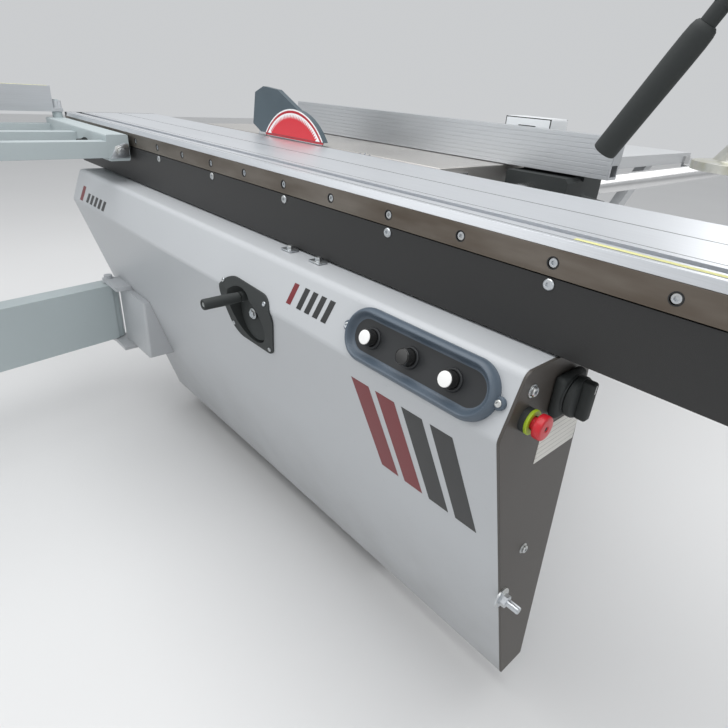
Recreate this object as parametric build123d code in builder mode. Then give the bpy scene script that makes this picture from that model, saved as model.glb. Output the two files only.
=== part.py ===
"""Sliding-table panel saw with outrigger, rip fence, tilting saw unit and hold-down clamp.

Millimetres, +Z up, origin on the floor under the middle of the whole machine.
+X points at the operator's (infeed) end, -Y to the sliding-table side, +Y to the rip-fence side.
"""
from build123d import *
import os
from math import asin, atan2, cos, degrees, radians, sin

os.makedirs("parts", exist_ok=True)

# ---- driving dimensions -------------------------------------------------------------------
TABLE_TOP = 890.0            # working height of every table surface
SLIDE_LENGTH = 2800.0        # sliding-table extrusion
SLIDE_NEAR = -220.0          # outer side of the sliding table, steel strip face
SLIDE_FAR = 66.0             # saw side of the sliding table
CAP = 8.0                    # end cap thickness on the sliding table
BEAM_HALF = 1300.0           # half length of the fixed beam
BEAM_NEAR, BEAM_FAR = -218.0, -78.0
BEAM_LOW, BEAM_HIGH = 761.0, 846.0
SCREW_PITCH = 130.0          # screws along the steel strip
SCREW_START = -1365.0
BLADE_X, BLADE_Y = -575.0, 73.0
BLADE_R = 145.0
ARBOR_Z = 810.0              # arbor height with the blade fully up
MOTOR_Z = 575.0
COVER_LEFT, COVER_RIGHT = -1145.0, 353.0
BASE_LEFT, BASE_RIGHT = -981.0, 20.0
BASE_BACK = 640.0
BASE_LOW = 77.0              # lower edge of the sheet-metal body
BEND_1 = (-277.0, 758.0)     # upper bend of the front cover (y, z)
BEND_2 = (-308.0, 677.0)     # lower bend of the front cover
COVER_TOE = (-119.0, BASE_LOW)
SHEET = 3.0
OVERHANG_LOW = 405.0         # underside of the cover where it reaches past the base
CAST_LEFT, CAST_RIGHT = -1045.0, -104.0
CAST_NEAR, CAST_FAR = 80.0, 580.0
EXT_FAR = 1400.0
BAR_X, BAR_Z, BAR_R = -15.0, 845.0, 22.5
FENCE_FACE = 293.0
RUNNING = 0.05               # radial clearance of running fits
ARM_PIVOT = (-1083.0, -266.0)
ARM_ANGLE = 8.0              # plan angle of the swing arm from -Y towards +X
ARM_LOW, ARM_HIGH = 256.0, 432.0
FRAME_FRONT = -1400.0
FRAME_NEAR_X, FRAME_FAR_X = -871.0, -1391.0
CRANK_X, CRANK_Z, CRANK_THROW = -205.0, 634.0, 38.0
SLOT_Y = -181.5              # centre line of the T-slot
CLAMP_X = 661.0              # hold-down column
FOOT_X = 461.0               # hold-down spindle
WHEEL_R = 24.0
ROD_R = 6.0
LOW_ROD_Z = 786.0
WHEEL_Z = LOW_ROD_Z + ROD_R + WHEEL_R + 0.3
HIGH_ROD_Z = WHEEL_Z + WHEEL_R + ROD_R + 0.3
ROD_YS = (-190.0, -100.0)


def block(x, y, z, mode=Mode.ADD):
    """Box between three pairs of limits."""
    with Locations(((x[0] + x[1]) / 2, (y[0] + y[1]) / 2, (z[0] + z[1]) / 2)):
        Box(x[1] - x[0], y[1] - y[0], z[1] - z[0], mode=mode)


def rod(start, end, radius, mode=Mode.ADD):
    """Cylinder from one point to another."""
    run = Vector(*end) - Vector(*start)
    with Locations(Plane(origin=start, z_dir=run)):
        Cylinder(radius, run.length, align=(Align.CENTER, Align.CENTER, Align.MIN), mode=mode)


def along_x(x, y, z, length, radius, mode=Mode.ADD):
    rod((x, y, z), (x + length, y, z), radius, mode)


def along_y(x, y, z, length, radius, mode=Mode.ADD):
    rod((x, y, z), (x, y + length, z), radius, mode)


def along_z(x, y, z, length, radius, mode=Mode.ADD):
    rod((x, y, z), (x, y, z + length), radius, mode)


def cover_y(z, inset=0.0):
    """Depth of the front cover's outer face at a height, moved inwards by inset."""
    if z >= BEND_2[1]:
        return BEND_2[0] + (z - BEND_2[1]) * (BEND_1[0] - BEND_2[0]) / (BEND_1[1] - BEND_2[1]) + inset
    return BEND_2[0] + (BEND_2[1] - z) * (COVER_TOE[0] - BEND_2[0]) / (BEND_2[1] - BASE_LOW) + inset


# ---- machine base -------------------------------------------------------------------------
RAIL_LOW = 40.0
with BuildPart() as base_frame:
    block((BASE_LEFT + 6, BASE_RIGHT - 6), (-80, BASE_BACK - 6), (RAIL_LOW, BASE_LOW))
    block((BASE_LEFT + 56, BASE_RIGHT - 56), (-30, BASE_BACK - 56), (RAIL_LOW, BASE_LOW), Mode.SUBTRACT)
    block((BASE_RIGHT - 6, COVER_RIGHT - 8), (-80, -62), (RAIL_LOW, BASE_LOW))
    block((BLADE_X - 40, BLADE_X + 40), (-30, BASE_BACK - 56), (RAIL_LOW, BASE_LOW))
    for plate_x in (-900.0, -832.0, -60.0, 4.0):
        with BuildSketch(Plane.YZ.offset(plate_x)):
            with BuildLine():
                Polyline((-178, 760.5), (-86, 760.5), (-20, BASE_LOW), (-80, BASE_LOW), close=True)
            make_face()
        extrude(amount=12)
    block((-900, -820), (-182, -82), (752, 760.5))
    block((-60, 16), (-182, -82), (752, 760.5))

with BuildPart() as levelling_feet:
    for foot_x in (BASE_LEFT + 31, BASE_RIGHT - 31):
        for foot_y in (20.0, BASE_BACK - 31):
            along_z(foot_x, foot_y, 0, 14, 32)
            along_z(foot_x, foot_y, 14, RAIL_LOW - 14, 9)

WHEEL_Y, WHEEL_CENTRE_Z = 400.0, 600.0   # tilt handwheel
WALL_TOP = 846.0             # cabinet top under the cast table
STEP_Z = 786.0               # lower top beside the rip-fence bar
with BuildPart() as cabinet_shell:
    for wall_x, wall_top in ((BASE_LEFT, WALL_TOP), (BASE_RIGHT - SHEET, STEP_Z)):
        with BuildSketch(Plane.YZ.offset(wall_x)):
            with BuildLine():
                Polyline(
                    (cover_y(84, 7), 84), (cover_y(BEND_2[1], 7), BEND_2[1]), (-271, 745), (-190, 745),
                    (-190, 700), (-74, 700), (-74, 745), (74, 745), (74, wall_top),
                    (BASE_BACK - SHEET, wall_top), (BASE_BACK - SHEET, BASE_LOW), (-90, BASE_LOW), (-90, 84),
                    close=True,
                )
            make_face()
        extrude(amount=SHEET)
    block((BASE_LEFT, BASE_RIGHT), (BASE_BACK - SHEET, BASE_BACK), (BASE_LOW, STEP_Z))
    block((BASE_LEFT, CAST_RIGHT), (BASE_BACK - SHEET, BASE_BACK), (STEP_Z, WALL_TOP))
    block((CAST_RIGHT - SHEET, CAST_RIGHT), (74, BASE_BACK), (STEP_Z, WALL_TOP - 1))
    block((CAST_RIGHT - SHEET, BASE_RIGHT), (74, BASE_BACK), (STEP_Z - SHEET, STEP_Z))
    block((-700, -180), (BASE_BACK - 10, BASE_BACK + 1), (200, 760), Mode.SUBTRACT)
    with BuildSketch(Plane.YZ.offset(BASE_RIGHT)):
        with BuildLine():
            Polyline((-58, 80), (-55, 80), (-108, 621), (-120, 740), (-123, 740), (-111, 621), close=True)
        make_face()
    extrude(amount=COVER_RIGHT - BASE_RIGHT - 1)
    block((BASE_LEFT + SHEET, BASE_RIGHT - SHEET), (-15, BASE_BACK - SHEET), (BASE_LOW, BASE_LOW + SHEET))
    block((-732, -708.3), (BASE_BACK, BASE_BACK + 1.6), (200, 760))
    along_x(BASE_LEFT - 1, 420, 240, 10, 50.2, Mode.SUBTRACT)
    along_y(BASE_RIGHT - 90, BASE_BACK - 10, 160, 20, 12.5, Mode.SUBTRACT)
    along_x(BASE_RIGHT - 10, WHEEL_Y, WHEEL_CENTRE_Z, 20, 10 + RUNNING, Mode.SUBTRACT)

HINGE_X, HINGE_Y, HINGE_R = -704.0, BASE_BACK + 4.2, 4.0   # piano hinge of the service door
DOOR_LOW, DOOR_HIGH = 197.0, 763.0
with BuildPart() as service_door:
    block((-694, -186), (BASE_BACK - 8, BASE_BACK - 4), (206, 754))
    block((HINGE_X + 1, -177), (BASE_BACK + 2, BASE_BACK + 5), (DOOR_LOW, DOOR_HIGH))
    along_z(HINGE_X, HINGE_Y, DOOR_LOW + 3, DOOR_HIGH - DOOR_LOW - 6, HINGE_R)
    block((-690, -190), (BASE_BACK - 4, BASE_BACK + 2), (210, 750))
    block((-690 + 14, -190 - 14), (BASE_BACK - 9, BASE_BACK + 1), (224, 736), Mode.SUBTRACT)
    along_y(-215, BASE_BACK + 4, 480, 18, 14)
    for slot_z in range(260, 380, 20):
        block((-560, -320), (BASE_BACK - 10, BASE_BACK + 8), (slot_z, slot_z + 8), Mode.SUBTRACT)

with BuildPart() as front_cover:
    with BuildSketch(Plane.YZ.offset(COVER_LEFT)):
        with BuildLine():
            Polyline((-188, 757.5), BEND_1, BEND_2, COVER_TOE, (-96, BASE_LOW), close=True)
        make_face()
    extrude(amount=COVER_RIGHT - COVER_LEFT)
    bends = front_cover.edges().filter_by(Axis.X).sort_by(Axis.Y)[0:2]
    fillet(bends, radius=14)
    ends = front_cover.faces().filter_by(Axis.X)
    inner_side = front_cover.faces().sort_by(SortBy.AREA)[-1]
    offset(amount=-SHEET, openings=[ends[0], ends[1], inner_side])
    block((COVER_LEFT - 1, BASE_LEFT), (-330, 0), (0, OVERHANG_LOW), Mode.SUBTRACT)
    along_y(CRANK_X, -330, CRANK_Z, 60, 62.5, Mode.SUBTRACT)
    with BuildSketch(Plane.YZ.offset(COVER_LEFT + 0.5)):
        with BuildLine():
            Polyline(
                (-190, 755), (cover_y(755, 1), 755), (cover_y(BEND_2[1], 1), BEND_2[1]),
                (cover_y(OVERHANG_LOW, 1), OVERHANG_LOW), (-100, OVERHANG_LOW), (-100, 620), close=True,
            )
        make_face()
    extrude(amount=SHEET)
    block(
        (COVER_LEFT + 0.5, BASE_LEFT - 1),
        (cover_y(OVERHANG_LOW, 1), -100),
        (OVERHANG_LOW, OVERHANG_LOW + SHEET),
    )
    block((COVER_LEFT + 0.5, BASE_LEFT - 1), (-103, -100), (OVERHANG_LOW, 620))

with BuildPart() as operator_end_panel:
    with BuildSketch(Plane.YZ.offset(COVER_RIGHT)):
        with BuildLine():
            Polyline(
                (-124, 757), BEND_1, BEND_2, COVER_TOE, (-56, BASE_LOW), (-110, 621), (-122, 712), close=True
            )
        make_face()
    extrude(amount=4)
    fillet(operator_end_panel.edges().filter_by(Axis.X).sort_by(Axis.Y)[0:2], radius=14)

BEAM_SCREW_Z = 838.0
with BuildPart() as fixed_beam:
    block((-BEAM_HALF, BEAM_HALF), (BEAM_NEAR, BEAM_FAR), (BEAM_LOW, BEAM_HIGH))
    block(
        (-BEAM_HALF - 1, BEAM_HALF + 1),
        (BEAM_NEAR + 7, BEAM_FAR - 7),
        (BEAM_LOW + 12, BEAM_HIGH + 1),
        Mode.SUBTRACT,
    )
    for rod_y in ROD_YS:
        block((-BEAM_HALF, BEAM_HALF), (rod_y - 9, rod_y + 9), (BEAM_LOW + 12, LOW_ROD_Z - 4))
    for screw_index in range(1, 20, 2):
        along_y(SCREW_START + SCREW_PITCH * screw_index, BEAM_NEAR, BEAM_SCREW_Z, 4, 7, Mode.SUBTRACT)
    for rod_y in ROD_YS:
        along_x(-BEAM_HALF, rod_y, LOW_ROD_Z, 2 * BEAM_HALF, ROD_R)

# ---- fasteners that show on the base ------------------------------------------------------
with BuildPart() as base_fasteners:
    for screw_index in range(1, 20, 2):
        screw_x = SCREW_START + SCREW_PITCH * screw_index
        along_y(screw_x, BEAM_NEAR - 1.5, BEAM_SCREW_Z, 5.5, 6.9)
        along_y(screw_x, BEAM_NEAR - 2, BEAM_SCREW_Z, 3, 3, Mode.SUBTRACT)
    for head_y, head_z in ((-261, 730), (-173, 429)):
        along_x(COVER_RIGHT + 4, head_y, head_z, 5, 7)
    along_x(COVER_RIGHT + 4, -203, 346, 3, 17)
    along_x(COVER_RIGHT + 7, -203, 346, 10, 10.5)
    along_x(COVER_RIGHT + 17, -203, 346, 16, 6)
    for tab_x in (-158.0, -77.0):
        block((tab_x - 14, tab_x + 14), (-242, -222), (758.5, 762))
        along_z(tab_x, -232, 762, 6, 5)

# ---- control panel ------------------------------------------------------------------------
FACET_TILT = degrees(atan2(BEND_1[0] - BEND_2[0], BEND_1[1] - BEND_2[1]))  # lean of the band facet
PANEL_X = 209.5              # middle of the push-button panel
PANEL_Z = 716.0
PANEL_LENGTH, PANEL_HEIGHT = 256.0, 78.0
panel_plane = Plane(
    origin=(PANEL_X, cover_y(PANEL_Z, -0.2), PANEL_Z),
    x_dir=(1, 0, 0),
    z_dir=(0, -cos(radians(FACET_TILT)), sin(radians(FACET_TILT))),
)
BUTTON_XS = (-77.0, -6.5, 64.0)
with BuildPart() as control_bezel:
    with BuildSketch(panel_plane):
        SlotOverall(PANEL_LENGTH, PANEL_HEIGHT)
    extrude(amount=15)
    chamfer(control_bezel.faces().sort_by(Axis(panel_plane.origin, panel_plane.z_dir))[-1].edges(), 5)
    with BuildSketch(panel_plane):
        with Locations((-PANEL_LENGTH / 2 - 4, 0), (PANEL_LENGTH / 2 + 4, 0)):
            Circle(11)
    extrude(amount=7)
    with BuildSketch(panel_plane.offset(5)):
        SlotOverall(PANEL_LENGTH - 26, PANEL_HEIGHT - 26)
    extrude(amount=20, mode=Mode.SUBTRACT)
    for button_x in BUTTON_XS:
        with BuildSketch(panel_plane.offset(5)):
            with Locations((button_x, 0)):
                Circle(17)
                Circle(11.5, mode=Mode.SUBTRACT)
        extrude(amount=13)


def push_button(local_x):
    """Cap and stem of one push button, lying on the panel's own plane."""
    with BuildPart() as cap:
        with BuildSketch(panel_plane.offset(10)):
            with Locations((local_x, 0)):
                Circle(11.1)
        extrude(amount=14)
        chamfer(cap.faces().sort_by(Axis(panel_plane.origin, panel_plane.z_dir))[-1].edges(), 1.2)
    return cap


saw_start_button = push_button(BUTTON_XS[0])
stop_button = push_button(BUTTON_XS[1])
scoring_start_button = push_button(BUTTON_XS[2])

ESTOP_Y, ESTOP_Z, ESTOP_R = -262.0, 693.0, 15.5
SWITCH_Y, SWITCH_Z = -186.0, 706.0
END_X = COVER_RIGHT + 4
with BuildPart() as switch_housings:
    along_x(END_X, ESTOP_Y, ESTOP_Z, 9, ESTOP_R)
    along_x(END_X + 0.5, ESTOP_Y, ESTOP_Z, 12, 8.3, Mode.SUBTRACT)
    block((END_X, END_X + 16), (SWITCH_Y - 28, SWITCH_Y + 28), (SWITCH_Z - 28, SWITCH_Z + 28))
    fillet(switch_housings.edges().filter_by(Axis.X).group_by(SortBy.LENGTH)[-1], radius=10)
    along_x(END_X + 6, SWITCH_Y, SWITCH_Z, 12, 15.3, Mode.SUBTRACT)

with BuildPart() as estop_head:
    along_x(END_X + 7, ESTOP_Y, ESTOP_Z, 9, 8)
    along_x(END_X + 15, ESTOP_Y, ESTOP_Z, 13, ESTOP_R)
    fillet(estop_head.edges().filter_by(GeomType.CIRCLE).sort_by(Axis.X)[-1], radius=2.5)

with BuildPart() as main_switch_knob:
    along_x(END_X + 7, SWITCH_Y, SWITCH_Z, 10, 15)
    along_x(END_X + 16.5, SWITCH_Y, SWITCH_Z, 9.5, 27)
    block((END_X + 26, END_X + 40), (SWITCH_Y - 7, SWITCH_Y + 7), (SWITCH_Z - 26, SWITCH_Z + 26))

# ---- height crank -------------------------------------------------------------------------
PLATE_T = 3.2                # the plate follows the cover's bend
PLATE_TOP, PLATE_FOOT = 720.0, 550.0
CUP_BACK = -254.0
CRANK_FACE = -276.0          # near face of the turning disc
with BuildPart() as crank_plate:
    with BuildSketch(Plane.XZ.offset(345)):
        for cx, cz, cr in ((-225, 640, 62), (-140, 665, 34), (-165, 594, 26), (-250, 602, 34)):
            with Locations((cx, cz)):
                Circle(cr)
        make_hull()
    extrude(amount=-100)
    with BuildSketch(Plane.YZ.offset(-320)):
        with BuildLine():
            Polyline(
                (cover_y(PLATE_TOP, -0.3), PLATE_TOP), (cover_y(BEND_2[1], -0.3), BEND_2[1]),
                (cover_y(PLATE_FOOT, -0.3), PLATE_FOOT), (-200, PLATE_FOOT), (-200, PLATE_TOP), close=True,
            )
        make_face()
    extrude(amount=300, mode=Mode.SUBTRACT)
    along_y(CRANK_X, -330, CRANK_Z, 330 + CUP_BACK, 61)
    with BuildSketch(Plane.YZ.offset(-320)):
        with BuildLine():
            Polyline(
                (cover_y(PLATE_TOP, -PLATE_T), PLATE_TOP), (cover_y(BEND_2[1], -PLATE_T), BEND_2[1]),
                (cover_y(PLATE_FOOT, -PLATE_T), PLATE_FOOT), (-350, PLATE_FOOT), (-350, PLATE_TOP), close=True,
            )
        make_face()
    extrude(amount=300, mode=Mode.SUBTRACT)
    along_y(CRANK_X, -330, CRANK_Z, 330 + CUP_BACK - 8, 56.5, Mode.SUBTRACT)
    along_y(CRANK_X, CUP_BACK - 10, CRANK_Z, 20, 8.05, Mode.SUBTRACT)

GRIP_END, GRIP_BASE = -380.0, -310.0
with BuildPart() as crank_arm:
    along_y(CRANK_X, CRANK_FACE, CRANK_Z, 9, 53)
    along_y(CRANK_X, CRANK_FACE - 2, CRANK_Z, 2, 9)
    along_y(CRANK_X, CRANK_FACE + 9, CRANK_Z, 67, 8)
    along_y(CRANK_X, GRIP_BASE + 2, CRANK_Z + CRANK_THROW, 33, 9.4)
    along_y(CRANK_X, GRIP_BASE + 2, CRANK_Z + CRANK_THROW, 24, 5.05, Mode.SUBTRACT)
    block((CRANK_X - 9, CRANK_X + 9), (CRANK_FACE - 6, CRANK_FACE), (CRANK_Z, CRANK_Z + CRANK_THROW))

with BuildPart() as crank_grip:
    along_y(CRANK_X, GRIP_END, CRANK_Z + CRANK_THROW, GRIP_BASE - GRIP_END, 10)
    fillet(crank_grip.edges().filter_by(GeomType.CIRCLE).sort_by(Axis.Y)[0], radius=2)
    along_y(CRANK_X, GRIP_BASE, CRANK_Z + CRANK_THROW, 22, 5)
    along_y(CRANK_X, GRIP_END - 1, CRANK_Z + CRANK_THROW, 6, 5.5, Mode.SUBTRACT)
    along_y(CRANK_X, GRIP_END + 2, CRANK_Z + CRANK_THROW, 3, 5)

# ---- fixed tables -------------------------------------------------------------------------
with BuildPart() as cast_table:
    block((CAST_LEFT, CAST_RIGHT), (CAST_NEAR, CAST_FAR), (846, TABLE_TOP))
    bays = 4
    bay_length = (CAST_RIGHT - CAST_LEFT - 24) / bays
    for bay in range(bays):
        start_x = CAST_LEFT + 12 + bay * bay_length
        bay_x = (start_x + 5, start_x + bay_length - 5)
        block(bay_x, (CAST_NEAR + 12, CAST_FAR - 12), (845, 877), Mode.SUBTRACT)
    block((BLADE_X - 190, BLADE_X + 310), (CAST_NEAR - 1, 300), (845, 878), Mode.SUBTRACT)
    chamfer(cast_table.faces().sort_by(Axis.Z)[-1].edges(), 1.5)

with BuildPart() as extension_table:
    block((CAST_LEFT, CAST_RIGHT), (CAST_FAR + 2, EXT_FAR), (858, TABLE_TOP))
    block((CAST_LEFT + 3, CAST_RIGHT - 3), (CAST_FAR + 5, EXT_FAR - 3), (857, TABLE_TOP - 4), Mode.SUBTRACT)
    for rib_y in (840.0, 1100.0):
        block((CAST_LEFT + 3, CAST_RIGHT - 3), (rib_y, rib_y + 30), (862, TABLE_TOP - 4))
    for strut_x in (-900.0, -150.0):
        with BuildSketch(Plane.YZ.offset(strut_x)):
            with BuildLine():
                Polyline((BASE_BACK, 420), (BASE_BACK, 466), (1100, 861.5), (1148, 861.5), close=True)
            make_face()
        extrude(amount=30)
        block((strut_x - 12, strut_x + 42), (BASE_BACK, BASE_BACK + 6), (400, 486))

with BuildPart() as guide_bar:
    along_y(BAR_X, 95, BAR_Z, EXT_FAR - 95, BAR_R)
    for bracket_y in (120.0, 700.0, 1340.0):
        block((CAST_RIGHT, BAR_X), (bracket_y, bracket_y + 40), (BAR_Z - 8, BAR_Z + 8))
        block((CAST_RIGHT, CAST_RIGHT + 8), (bracket_y, bracket_y + 40), (848, 880))
        block((CAST_RIGHT, CAST_RIGHT + 8), (bracket_y, bracket_y + 40), (BAR_Z - 8, 850))

with BuildPart() as dust_port:
    along_x(BASE_LEFT - 55, 420, 240, 60, 50)
    along_x(BASE_LEFT - 4, 420, 240, 4, 68)
    along_x(BASE_LEFT - 60, 420, 240, 80, 47, Mode.SUBTRACT)

with BuildPart() as mains_gland:
    along_y(BASE_RIGHT - 90, BASE_BACK - 18, 160, 20, 12.3)
    with BuildSketch(Plane.XZ.offset(-BASE_BACK)):
        with Locations((BASE_RIGHT - 90, 160)):
            RegularPolygon(17, 6)
    extrude(amount=-12)
    along_y(BASE_RIGHT - 90, BASE_BACK + 12, 160, 14, 13)
    along_y(BASE_RIGHT - 90, BASE_BACK - 20, 160, 60, 7, Mode.SUBTRACT)

# ---- sliding table ------------------------------------------------------------------------
HALF = SLIDE_LENGTH / 2
with BuildPart() as sliding_table:
    with BuildSketch(Plane.YZ.offset(-HALF)):
        with BuildLine():
            Polyline(
                (SLIDE_NEAR + 1, 879), (SLIDE_NEAR + 3, TABLE_TOP), (SLIDE_FAR, TABLE_TOP), (SLIDE_FAR, 887),
                (48, 869), (BEAM_FAR + 12, 869), (BEAM_FAR + 12, 853), (BEAM_FAR + 4, 849),
                (BEAM_FAR - 9, 849), (BEAM_FAR - 9, 863), (-198, 863), (-207, 856), (-207, 849),
                (-213, 849), (-213, 879), close=True,
            )
        make_face()
        with BuildLine():
            Polyline((SLOT_Y - 9.5, 891), (SLOT_Y + 9.5, 891), (SLOT_Y + 9.5, 882), (SLOT_Y + 14, 882),
                     (SLOT_Y + 14, 871), (SLOT_Y - 14, 871), (SLOT_Y - 14, 882), (SLOT_Y - 9.5, 882),
                     close=True)
        make_face(mode=Mode.SUBTRACT)
        for groove_y in (-57.0,):
            with Locations((groove_y, TABLE_TOP)):
                Rectangle(3, 3, mode=Mode.SUBTRACT)
        for cell_y in (-140, -105, -30, 5):
            with Locations((cell_y, 876)):
                Rectangle(27, 7, mode=Mode.SUBTRACT)
    extrude(amount=SLIDE_LENGTH)

with BuildPart() as table_steel_guides:
    block((-HALF, HALF), (SLIDE_NEAR, -213), (848, 878.6))
    for screw_index in range(22):
        screw_x = SCREW_START + SCREW_PITCH * screw_index
        along_y(screw_x, SLIDE_NEAR, 863, 5, 7, Mode.SUBTRACT)
    for rod_y in ROD_YS:
        along_x(-HALF + 2, rod_y, HIGH_ROD_Z, SLIDE_LENGTH - 4, ROD_R)
        block((-HALF + 2, HALF - 2), (rod_y - 3, rod_y + 3), (HIGH_ROD_Z + 2, 863))

with BuildPart() as strip_screws:
    for screw_index in range(22):
        screw_x = SCREW_START + SCREW_PITCH * screw_index
        along_y(screw_x, SLIDE_NEAR + 0.6, 863, 4.4, 6)
        along_y(screw_x, SLIDE_NEAR + 0.5, 863, 2.6, 2.9, Mode.SUBTRACT)

with BuildPart() as table_end_caps:
    for cap_x in (-HALF - CAP, HALF):
        block((cap_x, cap_x + CAP), (SLIDE_NEAR, SLIDE_FAR), (849, TABLE_TOP))
        block((cap_x - 1, cap_x + CAP + 1), (50, SLIDE_FAR + 1), (840, 869), Mode.SUBTRACT)

HANDLE_X = 1330.0
with BuildPart() as push_handle:
    block((HANDLE_X - 30, HANDLE_X + 30), (SLOT_Y - 22, SLOT_Y + 22), (TABLE_TOP, TABLE_TOP + 12))
    block((HANDLE_X - 22, HANDLE_X + 22), (SLOT_Y - 8.5, SLOT_Y + 8.5), (883, TABLE_TOP))
    along_z(HANDLE_X, SLOT_Y, TABLE_TOP + 12, 120, 11)
    along_z(HANDLE_X, SLOT_Y, TABLE_TOP + 40, 110, 17)
    fillet(push_handle.edges().filter_by(GeomType.CIRCLE).sort_by(Axis.Z)[-1], radius=8)

# ---- intermediate roller carriage ---------------------------------------------------------
AXLE_XS = (-380.0, 380.0)
with BuildPart() as carriage_frame:
    block((-450, 450), (-184, -112), (WHEEL_Z - 14, WHEEL_Z + 14))
    block((-330, 330), (-172, -124), (WHEEL_Z - 15, WHEEL_Z + 15), Mode.SUBTRACT)
    for axle_x in AXLE_XS:
        along_y(axle_x, -190, WHEEL_Z, 90, 8 + RUNNING, Mode.SUBTRACT)


def carriage_axle(axle_x):
    """Axle with a grooveless roller at each end, running between the guide rods."""
    with BuildPart() as axle:
        along_y(axle_x, ROD_YS[0] - 5, WHEEL_Z, ROD_YS[1] - ROD_YS[0] + 10, 8)
        for roller_y in ROD_YS:
            along_y(axle_x, roller_y - 6, WHEEL_Z, 12, WHEEL_R)
    return axle


carriage_axle_rear = carriage_axle(AXLE_XS[0])
carriage_axle_front = carriage_axle(AXLE_XS[1])

# ---- saw unit -----------------------------------------------------------------------------
TRUNNION_XS = (BLADE_X - 200, BLADE_X + 173)
COLUMN_Y = 204.0
COLUMN_XS = (BLADE_X - 80, BLADE_X + 80)
with BuildPart() as trunnion_brackets:
    for plate_x in (TRUNNION_XS[0] - 13, TRUNNION_XS[1] + 13):
        block((plate_x, plate_x + 12), (150, 567), (790, 846))
        block((plate_x, plate_x + 12), (150, 300), (720, 800))
        along_x(plate_x - 1, BLADE_Y, TABLE_TOP, 14, 176, Mode.SUBTRACT)

with BuildPart() as saw_cradle:
    for plate_x in TRUNNION_XS:
        with BuildSketch(Plane.YZ.offset(plate_x)):
            with BuildLine():
                Polyline(
                    (64, 740), (120, 740), (140, 800), (210, 800), (225, 512), (180, 512), (64, 650),
                    close=True,
                )
            make_face()
        extrude(amount=12)
    block((TRUNNION_XS[0] + 12, TRUNNION_XS[1]), (184, 224), (512, 545))
    for column_x in COLUMN_XS:
        along_z(column_x, COLUMN_Y, 540, 302, 11)

with BuildPart() as rise_block:
    block((BLADE_X - 110, BLADE_X + 110), (176, 232), (700, 845))
    along_y(BLADE_X, 100, ARBOR_Z, 80, 30)
    for side_x in (BLADE_X - 110, BLADE_X + 98):
        block((side_x, side_x + 12), (232, 270), (500, 720))
    block((BLADE_X - 110, BLADE_X + 110), (262, 270), (500, 655))
    along_y(BLADE_X, 95, ARBOR_Z, 145, 12 + RUNNING, Mode.SUBTRACT)
    along_y(BLADE_X, 255, MOTOR_Z, 20, 20, Mode.SUBTRACT)
    for column_x in COLUMN_XS:
        along_z(column_x, COLUMN_Y, 690, 160, 11 + RUNNING, Mode.SUBTRACT)

PULLEY_NEAR, PULLEY_FAR = 236.0, 258.0
ARBOR_PULLEY_R, MOTOR_PULLEY_R = 30.0, 36.0
with BuildPart() as saw_arbor:
    along_y(BLADE_X, 56, ARBOR_Z, PULLEY_FAR - 56, 12)
    along_y(BLADE_X, 74.9, ARBOR_Z, 9, 29)
    along_y(BLADE_X, 83.9, ARBOR_Z, 14, 18)
    along_y(BLADE_X, PULLEY_NEAR, ARBOR_Z, PULLEY_FAR - PULLEY_NEAR, ARBOR_PULLEY_R)
    along_y(BLADE_X, 65.5, ARBOR_Z, 5.7, 29)
    along_y(BLADE_X, 57, ARBOR_Z, 8.5, 17)

TEETH = 48
with BuildPart() as saw_blade:
    with BuildSketch(Plane.XZ.offset(-BLADE_Y + 1.6)):
        with Locations((BLADE_X, ARBOR_Z)):
            Circle(BLADE_R - 7)
            Circle(12.1, mode=Mode.SUBTRACT)
            with PolarLocations(BLADE_R - 8, TEETH):
                Polygon((-4, -5), (8, -0.5), (8, 2.5), (-4, 3), align=None)
    extrude(amount=-3.2)

with BuildPart() as saw_motor:
    along_y(BLADE_X, 270.3, MOTOR_Z, 205, 66)
    along_y(BLADE_X, 474, MOTOR_Z, 26, 60)
    for fin_y in range(284, 464, 15):
        along_y(BLADE_X, fin_y, MOTOR_Z, 4, 72)
    block((BLADE_X + 40, BLADE_X + 94), (310, 400), (MOTOR_Z - 35, MOTOR_Z + 35))
    along_y(BLADE_X, 265, MOTOR_Z, 200, 14 + RUNNING, Mode.SUBTRACT)

with BuildPart() as motor_pulley:
    along_y(BLADE_X, PULLEY_NEAR, MOTOR_Z, 220, 14)
    along_y(BLADE_X, PULLEY_NEAR, MOTOR_Z, PULLEY_FAR - PULLEY_NEAR, MOTOR_PULLEY_R)

BELT_GAP = 0.3
with BuildPart() as drive_belt:
    for belt_gain, belt_mode in ((3.0, Mode.ADD), (0.0, Mode.SUBTRACT)):
        with BuildSketch(Plane.XZ.offset(-PULLEY_NEAR - 2)):
            with Locations((BLADE_X, ARBOR_Z)):
                Circle(ARBOR_PULLEY_R + BELT_GAP + belt_gain)
            with Locations((BLADE_X, MOTOR_Z)):
                Circle(MOTOR_PULLEY_R + BELT_GAP + belt_gain)
            make_hull()
        extrude(amount=-18, mode=belt_mode)

KNIFE_T = 2.4
GUARD_PIN = (BLADE_X - 145, ARBOR_Z + 118)
with BuildPart() as riving_knife:
    with BuildSketch(Plane.XZ.offset(-BLADE_Y + KNIFE_T / 2)):
        with Locations((BLADE_X, ARBOR_Z)):
            Circle(184)
            Circle(BLADE_R + 6, mode=Mode.SUBTRACT)
        with Locations((BLADE_X + 100, ARBOR_Z)):
            Rectangle(400, 500, mode=Mode.SUBTRACT)
        with Locations((BLADE_X - 140, ARBOR_Z - 170)):
            Rectangle(200, 200, mode=Mode.SUBTRACT)
        with Locations(GUARD_PIN):
            Circle(3 + RUNNING, mode=Mode.SUBTRACT)
    extrude(amount=-KNIFE_T)
    block((BLADE_X - 178, BLADE_X - 158), (71.8, 176), (ARBOR_Z - 72, ARBOR_Z - 50))
    block((BLADE_X - 178, BLADE_X - 110), (176, 196), (ARBOR_Z - 72, ARBOR_Z - 50))

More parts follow.
